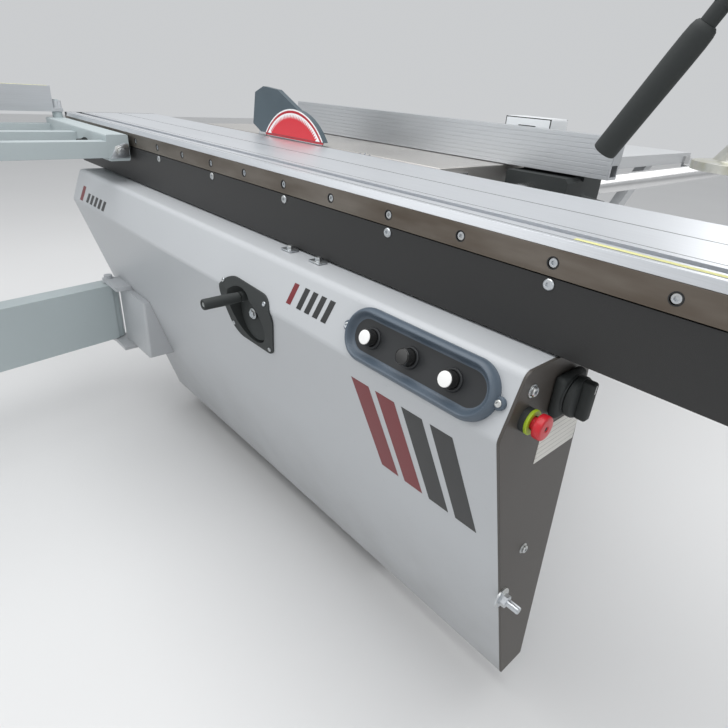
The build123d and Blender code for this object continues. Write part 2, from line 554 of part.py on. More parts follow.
GUARD_HALF = 6.5
GUARD_LOW = 898.0
GUARD_WALL = 3.0
NOSE_R = 152.0               # rounded nose, concentric with the arbor
NOSE_FOOT = degrees(asin((GUARD_LOW - ARBOR_Z) / NOSE_R))  # where the nose meets the lower edge


def nose_point(radius, angle):
    """Point on the guard's nose, seen from the side."""
    return (BLADE_X + radius * cos(radians(angle)), ARBOR_Z + radius * sin(radians(angle)))


with BuildPart() as guard_hood:
    with BuildSketch(Plane.XZ.offset(-BLADE_Y + GUARD_HALF)):
        with BuildLine():
            nose = ThreePointArc(nose_point(NOSE_R, NOSE_FOOT), nose_point(NOSE_R, 58), nose_point(NOSE_R, 82))
            Polyline(
                nose @ 1, (-640, 1000), (-705, 1005), (-744, 990), (-757, 915), (-720, GUARD_LOW), nose @ 0
            )
        make_face()
    extrude(amount=-2 * GUARD_HALF)
    with BuildSketch(Plane.XZ.offset(-BLADE_Y + GUARD_HALF - 2)):
        with BuildLine():
            inner = ThreePointArc(
                nose_point(NOSE_R - GUARD_WALL, 25),
                nose_point(NOSE_R - GUARD_WALL, 50),
                nose_point(NOSE_R - GUARD_WALL, 80),
            )
            Polyline(inner @ 1, (-642, 996), (-704, 1001), (-740, 986), (-752, 890), inner @ 0)
        make_face()
    extrude(amount=-2 * (GUARD_HALF - 2), mode=Mode.SUBTRACT)
    slot_y = (BLADE_Y - GUARD_HALF + 2, BLADE_Y + GUARD_HALF - 2)
    block((-770, -735), slot_y, (GUARD_LOW - 2, 975), Mode.SUBTRACT)
    along_y(GUARD_PIN[0], BLADE_Y - GUARD_HALF, GUARD_PIN[1], 2 * GUARD_HALF, 3)

SCORE_X, SCORE_Z, SCORE_R = BLADE_X + 262, 833.0, 60.0
with BuildPart() as scoring_unit:
    along_y(SCORE_X, 96, SCORE_Z, 104, 38)
    block((TRUNNION_XS[1] + 12, SCORE_X), (104, 136), (786, 806))
    along_y(SCORE_X, 90, SCORE_Z, 90, 8 + RUNNING, Mode.SUBTRACT)

with BuildPart() as scoring_blade:
    along_y(SCORE_X, 60, SCORE_Z, 110, 8)
    along_y(SCORE_X, 66, SCORE_Z, 5.5, 20)
    along_y(SCORE_X, 74.5, SCORE_Z, 12, 20)
    with BuildSketch(Plane.XZ.offset(-BLADE_Y + 1.5)):
        with Locations((SCORE_X, SCORE_Z)):
            Circle(SCORE_R - 5)
            with PolarLocations(SCORE_R - 6, 24):
                Polygon((-4, -4), (6, -0.5), (6, 2), (-4, 3), align=None)
    extrude(amount=-3)

HUB_X = BASE_RIGHT + 46
RIM_R = 86.0
with BuildPart() as tilt_handwheel:
    along_x(BASE_RIGHT - 40, WHEEL_Y, WHEEL_CENTRE_Z, 90, 10)
    along_x(HUB_X - 15, WHEEL_Y, WHEEL_CENTRE_Z, 30, 24)
    along_x(HUB_X - 9, WHEEL_Y, WHEEL_CENTRE_Z, 18, RIM_R + 10)
    along_x(HUB_X - 10, WHEEL_Y, WHEEL_CENTRE_Z, 20, RIM_R - 9, Mode.SUBTRACT)
    along_x(BASE_RIGHT - 40, WHEEL_Y, WHEEL_CENTRE_Z, 90, 10)
    along_x(HUB_X - 15, WHEEL_Y, WHEEL_CENTRE_Z, 30, 24)
    for spoke_angle in (90, 210, 330):
        spoke_y = WHEEL_Y + cos(radians(spoke_angle)) * (RIM_R - 4)
        spoke_z = WHEEL_CENTRE_Z + sin(radians(spoke_angle)) * (RIM_R - 4)
        rod((HUB_X, WHEEL_Y, WHEEL_CENTRE_Z), (HUB_X, spoke_y, spoke_z), 7)
    along_x(HUB_X + 5, WHEEL_Y, WHEEL_CENTRE_Z + RIM_R, 66, 9)

# ---- rip fence ----------------------------------------------------------------------------
with BuildPart() as fence_carrier:
    block((-77, 67), (FENCE_FACE - 28, FENCE_FACE + 112), (804, 886))
    block((-200, 67), (FENCE_FACE + 34, FENCE_FACE + 112), (892, 906))
    block((-77, 67), (FENCE_FACE + 34, FENCE_FACE + 112), (880, 900))
    chamfer(fence_carrier.edges().filter_by(Axis.Y).group_by(Axis.X)[-1], 8)
    along_y(BAR_X, 0, BAR_Z, 900, BAR_R + RUNNING, Mode.SUBTRACT)
    block((-300, BAR_X), (0, 900), (BAR_Z - 13, BAR_Z + 13), Mode.SUBTRACT)
    block((-300, -76), (0, 900), (700, 889), Mode.SUBTRACT)
    along_x(40, FENCE_FACE + 10, 828, 40, 9.05, Mode.SUBTRACT)
    block((-142, -32), (FENCE_FACE + 34, FENCE_FACE + 100), (906, 985))

FENCE_LEFT, FENCE_RIGHT = -870.0, 130.0
FENCE_RUN = (FENCE_LEFT - 1, FENCE_RIGHT + 1)   # cuts through the whole profile
with BuildPart() as fence_profile:
    block((FENCE_LEFT, FENCE_RIGHT), (FENCE_FACE, FENCE_FACE + 33.5), (892, 968))
    for cell_low, cell_high in ((897, 918), (922, 943), (947, 963)):
        block(FENCE_RUN, (FENCE_FACE + 5, FENCE_FACE + 29), (cell_low, cell_high), Mode.SUBTRACT)
    for groove in range(8):
        groove_z = 899 + groove * 8.6
        block(FENCE_RUN, (FENCE_FACE - 1, FENCE_FACE + 0.9), (groove_z, groove_z + 1.4), Mode.SUBTRACT)

with BuildPart() as fence_lever:
    along_x(40.5, FENCE_FACE + 10, 828, 36, 9)
    rod((72, FENCE_FACE + 10, 828), (96, FENCE_FACE - 6, 858), 8)
    rod((90, FENCE_FACE - 2, 850), (150, FENCE_FACE - 40, 852), 9)

# ---- swing arm under the outrigger --------------------------------------------------------
arm_dir = (sin(radians(ARM_ANGLE)), -cos(radians(ARM_ANGLE)), 0)
arm_plane = Plane(origin=(*ARM_PIVOT, ARM_LOW), x_dir=arm_dir, z_dir=(0, 0, 1))
ARM_WIDTH = 60.0
ARM_LENGTH = 820.0
ARM_TALL = ARM_HIGH - ARM_LOW
PIN_R = 12.0
with BuildPart() as swing_arm_bracket:
    block((-1050, -861), (-250, -150), (ARM_LOW, ARM_HIGH))
    fillet(swing_arm_bracket.edges().filter_by(Axis.Z).group_by(Axis.Y)[0], radius=8)
    for lug_z in (ARM_LOW - 14, ARM_HIGH + 2):
        block((ARM_PIVOT[0], -980), (ARM_PIVOT[1] - 14, ARM_PIVOT[1] + 66), (lug_z, lug_z + 12))
        along_z(ARM_PIVOT[0], ARM_PIVOT[1], lug_z, 12, 18)
    block((-1040, -980), (-250, -150), (ARM_LOW - 14, ARM_HIGH + 14))
    with BuildSketch(Plane.YZ.offset(-1200)):
        with BuildLine():
            Polyline(
                (-320, 0), (-320, 500), (cover_y(500, -0.3), 500), (cover_y(180, -0.3), 180), (-140, 0),
                close=True,
            )
        make_face()
    extrude(amount=400, mode=Mode.INTERSECT)
    along_z(ARM_PIVOT[0], ARM_PIVOT[1], ARM_LOW - 20, ARM_TALL + 44, PIN_R)

with BuildPart() as swing_arm:
    with BuildSketch(arm_plane):
        with Locations((ARM_LENGTH / 2 + 4, 0)):
            Rectangle(ARM_LENGTH - 8, ARM_WIDTH)
        Circle(24)
    extrude(amount=ARM_TALL)
    with BuildSketch(arm_plane.offset(5)):
        with Locations((ARM_LENGTH / 2 + 60, 0)):
            Rectangle(ARM_LENGTH - 10, ARM_WIDTH - 10)
    extrude(amount=ARM_TALL - 10, mode=Mode.SUBTRACT)
    with BuildSketch(arm_plane.offset(-1)):
        Circle(PIN_R + RUNNING)
    extrude(amount=ARM_TALL + 2, mode=Mode.SUBTRACT)

POST_REACH = 1000.0
with BuildPart() as swing_arm_extension:
    with BuildSketch(arm_plane.offset(6)):
        with Locations(((POST_REACH + 420) / 2, 0)):
            Rectangle(POST_REACH - 420, ARM_WIDTH - 12)
    extrude(amount=ARM_TALL - 12)
    with BuildSketch(arm_plane.offset(10)):
        with Locations(((POST_REACH + 380) / 2, 0)):
            Rectangle(POST_REACH - 420, ARM_WIDTH - 20)
    extrude(amount=ARM_TALL - 20, mode=Mode.SUBTRACT)
    with BuildSketch(arm_plane):
        with Locations((POST_REACH, 0)):
            Circle(21)
    extrude(amount=812 - ARM_LOW)

# ---- outrigger ----------------------------------------------------------------------------
FENCE_PIVOT = (FRAME_FAR_X + 16, -250.0)
with BuildPart() as outrigger_bracket:
    block((FRAME_FAR_X, FRAME_NEAR_X), (-281, SLIDE_NEAR - 8), (814, 876))
    fillet(outrigger_bracket.edges().filter_by(Axis.X), radius=4)
    block((FRAME_FAR_X + 60, FRAME_NEAR_X - 60), (SLIDE_NEAR - 8, SLIDE_NEAR), (850, 870))
    along_z(FENCE_PIVOT[0], FENCE_PIVOT[1], 876, 50, 8)
    along_z(FENCE_PIVOT[0], FENCE_PIVOT[1], 876, 16, 14)

with BuildPart() as outrigger_frame:
    for arm_x in (FRAME_NEAR_X - 40, FRAME_FAR_X, (FRAME_NEAR_X + FRAME_FAR_X) / 2 - 15):
        block((arm_x, arm_x + 40), (FRAME_FRONT, -281), (822, 860))
    block((FRAME_FAR_X, FRAME_NEAR_X), (FRAME_FRONT, FRAME_FRONT + 40), (822, 860))
    for rail_y in (-1250.0, -760.0):
        block((FRAME_FAR_X, FRAME_NEAR_X), (rail_y, rail_y + 40), (828, 860))
    for arm_x in (FRAME_NEAR_X - 40, FRAME_FAR_X, (FRAME_NEAR_X + FRAME_FAR_X) / 2 - 15):
        block((arm_x + 3, arm_x + 37), (FRAME_FRONT + 50, -290), (825, 857), Mode.SUBTRACT)

with BuildPart() as support_bars:
    for bar_y in (FRAME_FRONT + 8, -1130.0, -850.0, -560.0):
        block((FRAME_FAR_X + 38, FRAME_NEAR_X - 4), (bar_y, bar_y + 44), (860, 886))
        block((FRAME_FAR_X + 30, FRAME_NEAR_X), (bar_y + 4, bar_y + 40), (864, 882), Mode.SUBTRACT)

with BuildPart() as bracket_clamp_lever:
    along_x(FRAME_NEAR_X - 180, -290, 840, 14, 9)
    along_y(FRAME_NEAR_X - 173, -300, 840, 18.7, 9)
    rod((FRAME_NEAR_X - 173, -295, 840), (FRAME_NEAR_X - 105, -300, 853), 7)

STOP_Y = -900.0
with BuildPart() as crosscut_fence:
    block((FRAME_FAR_X, FRAME_FAR_X + 32), (FRAME_FRONT + 12, -262), (893, 963))
    for cell_low, cell_high in ((898, 926), (930, 958)):
        block((FRAME_FAR_X + 4, FRAME_FAR_X + 28), (FRAME_FRONT, -262), (cell_low, cell_high), Mode.SUBTRACT)
    block((FRAME_FAR_X, FRAME_FAR_X + 32), (-275, -236), (893, 903))
    along_z(FENCE_PIVOT[0], FENCE_PIVOT[1], 893, 30, 15)
    along_z(FENCE_PIVOT[0], FENCE_PIVOT[1], 880, 60, 8 + RUNNING, Mode.SUBTRACT)
    for lug_y in (STOP_Y - 9, STOP_Y + 31):
        block((FRAME_FAR_X + 6, FRAME_FAR_X + 26), (lug_y, lug_y + 8), (960, 988))
    along_y(FRAME_FAR_X + 16, STOP_Y - 12, 978, 60, 7 + RUNNING, Mode.SUBTRACT)

with BuildPart() as flip_stop:
    along_y(FRAME_FAR_X + 16, STOP_Y - 9, 978, 48, 7)
    block((FRAME_FAR_X + 6, FRAME_FAR_X + 26), (STOP_Y, STOP_Y + 30), (968, 988))
    block((FRAME_FAR_X + 20, FRAME_FAR_X + 66), (STOP_Y, STOP_Y + 30), (978, 988))
    block((FRAME_FAR_X + 56, FRAME_FAR_X + 66), (STOP_Y, STOP_Y + 30), (900, 988))

# ---- hold-down clamp ----------------------------------------------------------------------
COLUMN_TOP = 1170.0
with BuildPart() as clamp_column:
    along_z(CLAMP_X, SLOT_Y, TABLE_TOP, COLUMN_TOP - TABLE_TOP, 14)
    along_z(CLAMP_X, SLOT_Y, TABLE_TOP, 16, 30)
    block((CLAMP_X - 25, CLAMP_X + 25), (SLOT_Y - 8.5, SLOT_Y + 8.5), (882, TABLE_TOP))

ARM_Z = 1110.0
LEVER_X = FOOT_X - 38.0
with BuildPart() as clamp_arm:
    along_z(CLAMP_X, SLOT_Y, ARM_Z - 32, 64, 26)
    block((FOOT_X, CLAMP_X), (SLOT_Y - 13, SLOT_Y + 13), (ARM_Z - 20, ARM_Z + 20))
    along_z(FOOT_X, SLOT_Y, ARM_Z - 28, 56, 22)
    along_z(CLAMP_X, SLOT_Y, ARM_Z - 40, 90, 14 + RUNNING, Mode.SUBTRACT)
    along_z(FOOT_X, SLOT_Y, ARM_Z - 40, 90, 9 + RUNNING, Mode.SUBTRACT)
    along_y(LEVER_X, SLOT_Y - 24, ARM_Z, 48, 16)
    block((LEVER_X, FOOT_X), (SLOT_Y - 13, SLOT_Y + 13), (ARM_Z - 16, ARM_Z + 16))
    along_z(FOOT_X, SLOT_Y, ARM_Z - 40, 90, 9 + RUNNING, Mode.SUBTRACT)
    along_y(LEVER_X, SLOT_Y - 30, ARM_Z, 60, 7 + RUNNING, Mode.SUBTRACT)

PAD_Z = 975.0
with BuildPart() as clamp_foot:
    with BuildSketch(Plane.XZ.offset(-SLOT_Y)):
        with BuildLine():
            Polyline(
                (FOOT_X, PAD_Z), (FOOT_X + 42, PAD_Z), (FOOT_X + 42, PAD_Z + 7), (FOOT_X + 26, PAD_Z + 9),
                (FOOT_X + 14, PAD_Z + 28), (FOOT_X + 9, PAD_Z + 32), (FOOT_X + 9, ARM_Z + 60),
                (FOOT_X, ARM_Z + 60),
                close=True,
            )
        make_face()
    revolve(axis=Axis((FOOT_X, SLOT_Y, 0), (0, 0, 1)))

with BuildPart() as clamp_lever:
    lever_y = SLOT_Y - 38
    along_y(LEVER_X, SLOT_Y - 44, ARM_Z, 64, 7)
    along_y(LEVER_X, SLOT_Y - 44, ARM_Z, 14, 17)
    rod((LEVER_X, lever_y, ARM_Z), (LEVER_X - 22, lever_y, ARM_Z - 40), 7)
    rod((LEVER_X - 14, lever_y, ARM_Z - 26), (LEVER_X - 73, lever_y, ARM_Z - 130), 11.5)

# ---- export -------------------------------------------------------------------------------
PARTS = {
    "base_frame": base_frame,
    "levelling_feet": levelling_feet,
    "cabinet_shell": cabinet_shell,
    "service_door": service_door,
    "front_cover": front_cover,
    "operator_end_panel": operator_end_panel,
    "fixed_beam": fixed_beam,
    "base_fasteners": base_fasteners,
    "control_bezel": control_bezel,
    "saw_start_button": saw_start_button,
    "stop_button": stop_button,
    "scoring_start_button": scoring_start_button,
    "switch_housings": switch_housings,
    "estop_head": estop_head,
    "main_switch_knob": main_switch_knob,
    "crank_plate": crank_plate,
    "crank_arm": crank_arm,
    "crank_grip": crank_grip,
    "cast_table": cast_table,
    "extension_table": extension_table,
    "guide_bar": guide_bar,
    "dust_port": dust_port,
    "mains_gland": mains_gland,
    "sliding_table": sliding_table,
    "table_steel_guides": table_steel_guides,
    "strip_screws": strip_screws,
    "table_end_caps": table_end_caps,
    "push_handle": push_handle,
    "carriage_frame": carriage_frame,
    "carriage_axle_rear": carriage_axle_rear,
    "carriage_axle_front": carriage_axle_front,
    "trunnion_brackets": trunnion_brackets,
    "saw_cradle": saw_cradle,
    "rise_block": rise_block,
    "saw_arbor": saw_arbor,
    "saw_blade": saw_blade,
    "saw_motor": saw_motor,
    "motor_pulley": motor_pulley,
    "drive_belt": drive_belt,
    "riving_knife": riving_knife,
    "guard_hood": guard_hood,
    "scoring_unit": scoring_unit,
    "scoring_blade": scoring_blade,
    "tilt_handwheel": tilt_handwheel,
    "fence_carrier": fence_carrier,
    "fence_profile": fence_profile,
    "fence_lever": fence_lever,
    "swing_arm_bracket": swing_arm_bracket,
    "swing_arm": swing_arm,
    "swing_arm_extension": swing_arm_extension,
    "outrigger_bracket": outrigger_bracket,
    "outrigger_frame": outrigger_frame,
    "support_bars": support_bars,
    "bracket_clamp_lever": bracket_clamp_lever,
    "crosscut_fence": crosscut_fence,
    "flip_stop": flip_stop,
    "clamp_column": clamp_column,
    "clamp_arm": clamp_arm,
    "clamp_foot": clamp_foot,
    "clamp_lever": clamp_lever,
}
for node_name, builder in PARTS.items():
    builder.part.label = node_name
    export_step(builder.part, f"parts/{node_name}.step")
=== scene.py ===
"""Looks of the sliding-table panel saw: finishes for its parts, and the fine pieces that go on them.

Metres, +Z up, +X towards the operator's end, -Y to the sliding-table side, floor at Z = 0.
"""
from math import asin, cos, pi, radians, sin

import bmesh
import bpy
from mathutils import Matrix, Vector


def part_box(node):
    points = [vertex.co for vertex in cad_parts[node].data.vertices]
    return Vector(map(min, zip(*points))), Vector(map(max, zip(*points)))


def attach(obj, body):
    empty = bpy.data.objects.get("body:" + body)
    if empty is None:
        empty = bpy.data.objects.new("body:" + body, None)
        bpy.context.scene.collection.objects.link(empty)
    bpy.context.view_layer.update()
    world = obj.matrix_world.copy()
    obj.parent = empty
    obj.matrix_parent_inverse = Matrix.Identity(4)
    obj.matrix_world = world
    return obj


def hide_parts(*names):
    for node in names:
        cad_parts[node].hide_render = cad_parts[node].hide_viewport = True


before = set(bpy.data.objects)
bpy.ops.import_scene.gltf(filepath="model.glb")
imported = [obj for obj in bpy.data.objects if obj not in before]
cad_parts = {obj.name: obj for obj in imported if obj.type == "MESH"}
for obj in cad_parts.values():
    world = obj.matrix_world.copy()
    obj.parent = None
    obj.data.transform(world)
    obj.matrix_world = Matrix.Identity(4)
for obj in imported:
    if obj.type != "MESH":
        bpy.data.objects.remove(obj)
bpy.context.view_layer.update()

bl_info = {
    "name": "Panel saw looks",
    "version": (1, 0, 0),
    "blender": (4, 5, 0),
    "location": "View3D > Sidebar > Panel saw",
    "description": "Finishes and fine pieces for a sliding-table panel saw",
    "category": "Object",
}

# ---- places on the machine, in metres -----------------------------------------------------
ALONG, UPWARD = Vector((1, 0, 0)), Vector((0, 0, 1))
BAND_TOP = (-0.277, 0.758)         # upper bend of the front cover, y and z
BAND_FOOT = (-0.308, 0.677)        # lower bend of the front cover
COVER_TOE = (-0.119, 0.077)        # lower edge of the front cover
FILM = 0.0003                      # thickness of printed film
END_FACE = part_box("operator_end_panel")[1].x
STRIP_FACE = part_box("table_steel_guides")[0].y
BEAM_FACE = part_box("fixed_beam")[0].y
TABLE_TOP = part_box("sliding_table")[1].z
BLADE_CENTRE = Vector((-0.575, 0.073, 0.810))
GUARD_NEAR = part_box("guard_hood")[0]
PANEL_CENTRE = Vector((0.2095, 0.0, 0.716))
PANEL_LENGTH, PANEL_HEIGHT = 0.256, 0.078
BUTTON_XS = {"saw_start_button": -0.0770, "stop_button": -0.0065, "scoring_start_button": 0.0640}
ESTOP_AXIS = Vector((END_FACE, -0.262, 0.693))
SWITCH_AXIS = Vector((END_FACE, -0.186, 0.706))
CRANK_AXIS = Vector((-0.205, -0.276, 0.634))
GRIP_BASE = Vector((-0.205, -0.310, 0.672))
LEVER_PIVOT = Vector((0.423, -0.2195, 1.110))
SCREW_PITCH = 0.130
FIRST_SCREW = -1.365
STRIP_SCREWS, STRIP_SCREW_Z = 22, 0.863
BEAM_SCREWS, BEAM_SCREW_Z = 10, 0.838
END_SCREWS = ((-0.261, 0.730), (-0.173, 0.429))      # on the end panel, y and z
END_BOLT = (END_FACE, -0.203, 0.346)
PLATE_LOW, PLATE_HIGH = 0.603, 0.658                # rating plate
PRINT_CENTRE_Z = 0.812                              # middle of the guard's printed disc
PRINT_THICK = 0.00025
WHEEL_X, WHEEL_Z = 0.066, 0.600                     # tilt handwheel
FEET_XS, FEET_YS = (-0.950, -0.011), (0.020, 0.609)
SMOOTH_BELOW = 35                                   # degrees between faces that stay smooth
FLOOR_REACH = 14
CAMERA_PLACE = (0.6057, -0.7632, 1.0219)
CAMERA_TURN = (46.29, 27.42, -4.10)                 # yaw, pitch and roll in degrees
CAMERA_LENS = 26.444


def paint(red, green, blue):
    """A display colour from 0 to 255 as the linear colour that shaders take."""
    def linear(value):
        value /= 255
        return value / 12.92 if value <= 0.04045 else ((value + 0.055) / 1.055) ** 2.4
    return (linear(red), linear(green), linear(blue), 1.0)


def shade(colour, factor):
    """The same colour, lighter or darker."""
    return tuple(min(1.0, part * factor) for part in colour[:3]) + (1.0,)


# ---- sizes and colours a user may change --------------------------------------------------
def size_setting(name, description, default):
    """A length in metres that a user may change."""
    return bpy.props.FloatProperty(name=name, description=description, default=default, unit="LENGTH")


def colour_setting(name, description, default):
    """A colour that a user may change."""
    return bpy.props.FloatVectorProperty(
        name=name, description=description, default=default, subtype="COLOR", size=4, min=0, max=1)


class PanelSawSizes(bpy.types.PropertyGroup):
    """Sizes of the fine pieces."""
    strip_screw: size_setting(
        "Strip screw", "Head radius of the screws along the steel strip", 0.0060)
    beam_screw: size_setting(
        "Beam screw", "Head radius of the screws along the beam", 0.0069)
    panel_screw: size_setting(
        "Panel screw", "Head radius of the screws round the control panel", 0.0045)
    rim_height: size_setting(
        "Panel rim", "Height of the rim round the push buttons", 0.015)


class PanelSawColours(bpy.types.PropertyGroup):
    """Colours of the painted and moulded parts."""
    body: colour_setting(
        "Body", "Powder coat of the sheet-metal body", paint(186, 189, 192))
    arms: colour_setting(
        "Arms", "Powder coat of outrigger and swing arm", paint(176, 186, 188))
    beam: colour_setting(
        "Beam", "Powder coat of the fixed beam", paint(42, 42, 42))
    end_panel: colour_setting(
        "End panel", "Powder coat of the panel at the operator's end", paint(72, 68, 64))
    rim: colour_setting(
        "Panel rim", "Moulding round the push buttons", paint(78, 90, 102))
    emergency: colour_setting(
        "Emergency stop", "Mushroom head", paint(196, 32, 44))
    stripe_warm: colour_setting(
        "Warm stripe", "Red film on the cover", paint(112, 14, 24))
    stripe_dark: colour_setting(
        "Dark stripe", "Charcoal film on the cover", paint(28, 29, 30))


# ---- shader building ----------------------------------------------------------------------
class Field:
    """A number that varies over a surface, for use in Python arithmetic."""

    def __init__(self, finish, socket):
        self.finish = finish
        self.socket = socket

    def __add__(self, other):
        return self.finish.math("ADD", self, other)

    def __mul__(self, other):
        return self.finish.math("MULTIPLY", self, other)

    def __sub__(self, other):
        return self.finish.math("SUBTRACT", self, other)

    def __rsub__(self, other):
        return self.finish.math("SUBTRACT", other, self)

    def __pow__(self, other):
        return self.finish.math("POWER", self, other)

    __radd__ = __add__
    __rmul__ = __mul__


class Finish:
    """One procedural material and the nodes in it."""

    def __init__(self, name):
        self.material = bpy.data.materials.new(name)
        self.material.use_nodes = True
        self.tree = self.material.node_tree
        self.tree.nodes.clear()
        self.place = self.node("ShaderNodeTexCoord").outputs["Object"]

    def node(self, kind, settings=None, inputs=None, stops=None):
        """Adds a node, sets its settings and ramp stops, then fills or links its inputs."""
        made = self.tree.nodes.new(kind)
        for key, value in (settings or {}).items():
            setattr(made, key, value)
        for number, (position, colour) in enumerate(stops or ()):
            ramp = made.color_ramp.elements
            stop = ramp[number] if number < len(ramp) else ramp.new(position)
            stop.position = position
            stop.color = colour
        for key, value in (inputs or {}).items():
            value = value.socket if isinstance(value, Field) else value
            if isinstance(value, bpy.types.NodeSocket):
                self.tree.links.new(value, made.inputs[key])
            else:
                made.inputs[key].default_value = value
        return made

    def math(self, operation, first, second):
        made = self.node("ShaderNodeMath", {"operation": operation}, {0: first, 1: second})
        return Field(self, made.outputs[0])

    def noise(self, scale, detail=2.0, stretch=(1, 1, 1)):
        """Soft noise with that many features to the metre, drawn out along an axis by a small stretch."""
        moved = self.node("ShaderNodeMapping", None, {"Vector": self.place, "Scale": stretch})
        made = self.node("ShaderNodeTexNoise", None,
                         {"Vector": moved.outputs[0], "Scale": scale, "Detail": detail})
        return Field(self, made.outputs[0])

    def cells(self, scale, output="Distance", stretch=(1, 1, 1)):
        moved = self.node("ShaderNodeMapping", None, {"Vector": self.place, "Scale": stretch})
        made = self.node("ShaderNodeTexVoronoi", None, {"Vector": moved.outputs[0], "Scale": scale})
        return Field(self, made.outputs[output])

    def axis(self, letter):
        """The coordinate along one axis, in metres."""
        return Field(self, self.node("ShaderNodeSeparateXYZ", None, {0: self.place}).outputs[letter])

    def step(self, field, low, high):
        """0 below low, 1 above high, and an even rise between them."""
        made = self.node("ShaderNodeMapRange", None, {"Value": field, "From Min": low, "From Max": high})
        return Field(self, made.outputs[0])

    def blend(self, mask, colour, other):
        made = self.node("ShaderNodeMix", {"data_type": "RGBA"}, {0: mask, 6: colour, 7: other})
        return made.outputs[2]

    def surface(self, colour, roughness, height=None, relief=0.0002, metallic=0.0, rounding=0.0012, **fixed):
        """Joins the fields to the shader and returns the material."""
        normal = self.node("ShaderNodeBevel", {"samples": 4}, {"Radius": rounding}).outputs[0]
        if height is not None:
            bump = self.node("ShaderNodeBump", None, {"Distance": relief, "Height": height, "Normal": normal})
            normal = bump.outputs[0]
        inputs = {"Base Color": colour, "Roughness": roughness, "Metallic": metallic, "Normal": normal}
        inputs.update({key.replace("_", " "): value for key, value in fixed.items()})
        shader = self.node("ShaderNodeBsdfPrincipled", None, inputs)
        self.node("ShaderNodeOutputMaterial", None, {"Surface": shader.outputs[0]})
        return self.material


def powder_coat(name, colour, roughness=0.42, peel_scale=700.0, darken_low=0.0):
    """Sprayed and baked paint: fine orange peel, faint clouds, and darker, warmer patches towards the bottom.
    """
    finish = Finish(name)
    peel = finish.noise(peel_scale, 1.0)
    cloud = finish.noise(2.2, 3.0)
    speck = finish.step(finish.noise(160.0, 3.0), 0.68, 0.74)
    tone = finish.blend(cloud, shade(colour, 0.93), shade(colour, 1.05))
    tone = finish.blend(speck * 0.16, tone, shade(colour, 0.55))
    if darken_low:
        # Below 0.42 m the coat turns towards a warm grey-brown in patches, more strongly the lower it is.
        low = finish.step(finish.axis("Z"), 0.42, 0.03)
        tone = finish.blend(low * finish.noise(9.0, 4.0) * darken_low, tone, paint(96, 90, 82))
    return finish.surface(tone, cloud * 0.10 + peel * 0.06 + (roughness - 0.08), peel, 0.00012,
                          Specular_IOR_Level=0.45)


def drawn_metal(name, colour, along="X", roughness=0.30, grain=1400.0, stain=None, polish=0.0):
    """Metal with fine straight lines along one axis, and stains where a second colour is given."""
    finish = Finish(name)
    stretch = {"X": (0.012, 1, 1), "Y": (1, 0.012, 1), "Z": (1, 1, 0.012)}[along]
    line = finish.noise(grain, 2.0, stretch)
    broad = finish.noise(grain / 9, 2.0, stretch)
    cloud = finish.noise(3.0, 3.0)
    tone = finish.blend(line, shade(colour, 0.86), shade(colour, 1.08))
    tone = finish.blend(broad * 0.35, tone, shade(colour, 0.80))
    if stain:
        long_patch = finish.noise(14.0, 4.0, {"X": (0.25, 1, 1), "Y": (1, 0.25, 1), "Z": (1, 1, 0.25)}[along])
        tone = finish.blend(finish.step(long_patch, 0.42, 0.66), tone, stain)
    rough = line * 0.12 + cloud * 0.12 + (roughness - 0.10)
    return finish.surface(tone, rough, line, 0.00003, metallic=1.0 - polish, rounding=0.0006)


def moulding(name, colour, roughness=0.45, grain=1500.0, relief=0.00008, **fixed):
    """Injection-moulded plastic with a fine spark-eroded grain and a little handling shine."""
    finish = Finish(name)
    pit = finish.cells(grain)
    handled = finish.noise(22.0, 3.0)
    tone = finish.blend(handled, shade(colour, 0.88), shade(colour, 1.12))
    return finish.surface(tone, handled * 0.18 + (roughness - 0.09), pit, relief, **fixed)


def zinc_plate(name, colour, tint):
    """Plated steel: small crystals of uneven brightness, with a faint warm tint."""
    finish = Finish(name)
    crystal = finish.cells(340.0, "Color")
    cloud = finish.noise(60.0, 3.0)
    tone = finish.blend(crystal, shade(colour, 0.90), colour)
    tone = finish.blend(finish.step(cloud, 0.45, 0.70) * 0.5, tone, tint)
    return finish.surface(tone, crystal * 0.08 + cloud * 0.12 + 0.24, cloud, 0.00003, metallic=1.0,
                          rounding=0.0005)


def ground_iron(name, colour):
    """Ground cast iron: grinding lines in long shallow arcs, dull pores and oil stains."""
    finish = Finish(name)
    moved = finish.node("ShaderNodeMapping", None,
                        {"Vector": finish.place, "Location": (0.575, 2.4, 0.0), "Scale": (1, 1, 0.001)})
    arcs = finish.node("ShaderNodeTexWave", {"wave_type": "RINGS", "rings_direction": "Z"},
                       {"Vector": moved.outputs[0], "Scale": 260.0, "Distortion": 2.0, "Detail": 2.0})
    line = Field(finish, arcs.outputs[1])
    stain = finish.noise(5.0, 4.0)
    pore = finish.step(finish.noise(420.0, 2.0), 0.66, 0.72)
    tone = finish.blend(stain, shade(colour, 0.86), shade(colour, 1.06))
    tone = finish.blend(pore * 0.25, tone, shade(colour, 0.45))
    return finish.surface(tone, line * 0.06 + stain * 0.18 + 0.24, line, 0.00002, metallic=0.85)


def turned_steel(name, colour, roughness=0.22):
    """Bright steel with fine rings turned about the arbor's line."""
    finish = Finish(name)
    across = finish.axis("X") - BLADE_CENTRE.x
    up = finish.axis("Z") - BLADE_CENTRE.z
    distance = (across * across + up * up) ** 0.5
    rings = finish.node("ShaderNodeTexNoise", {"noise_dimensions": "1D"},
                        {"W": distance * 2600.0, "Scale": 1.0})
    ring = Field(finish, rings.outputs[0])
    cloud = finish.noise(14.0, 3.0)
    tone = finish.blend(ring, shade(colour, 0.82), shade(colour, 1.08))
    return finish.surface(tone, ring * 0.14 + cloud * 0.10 + (roughness - 0.10), ring, 0.00002, metallic=1.0,
                          rounding=0.0004)


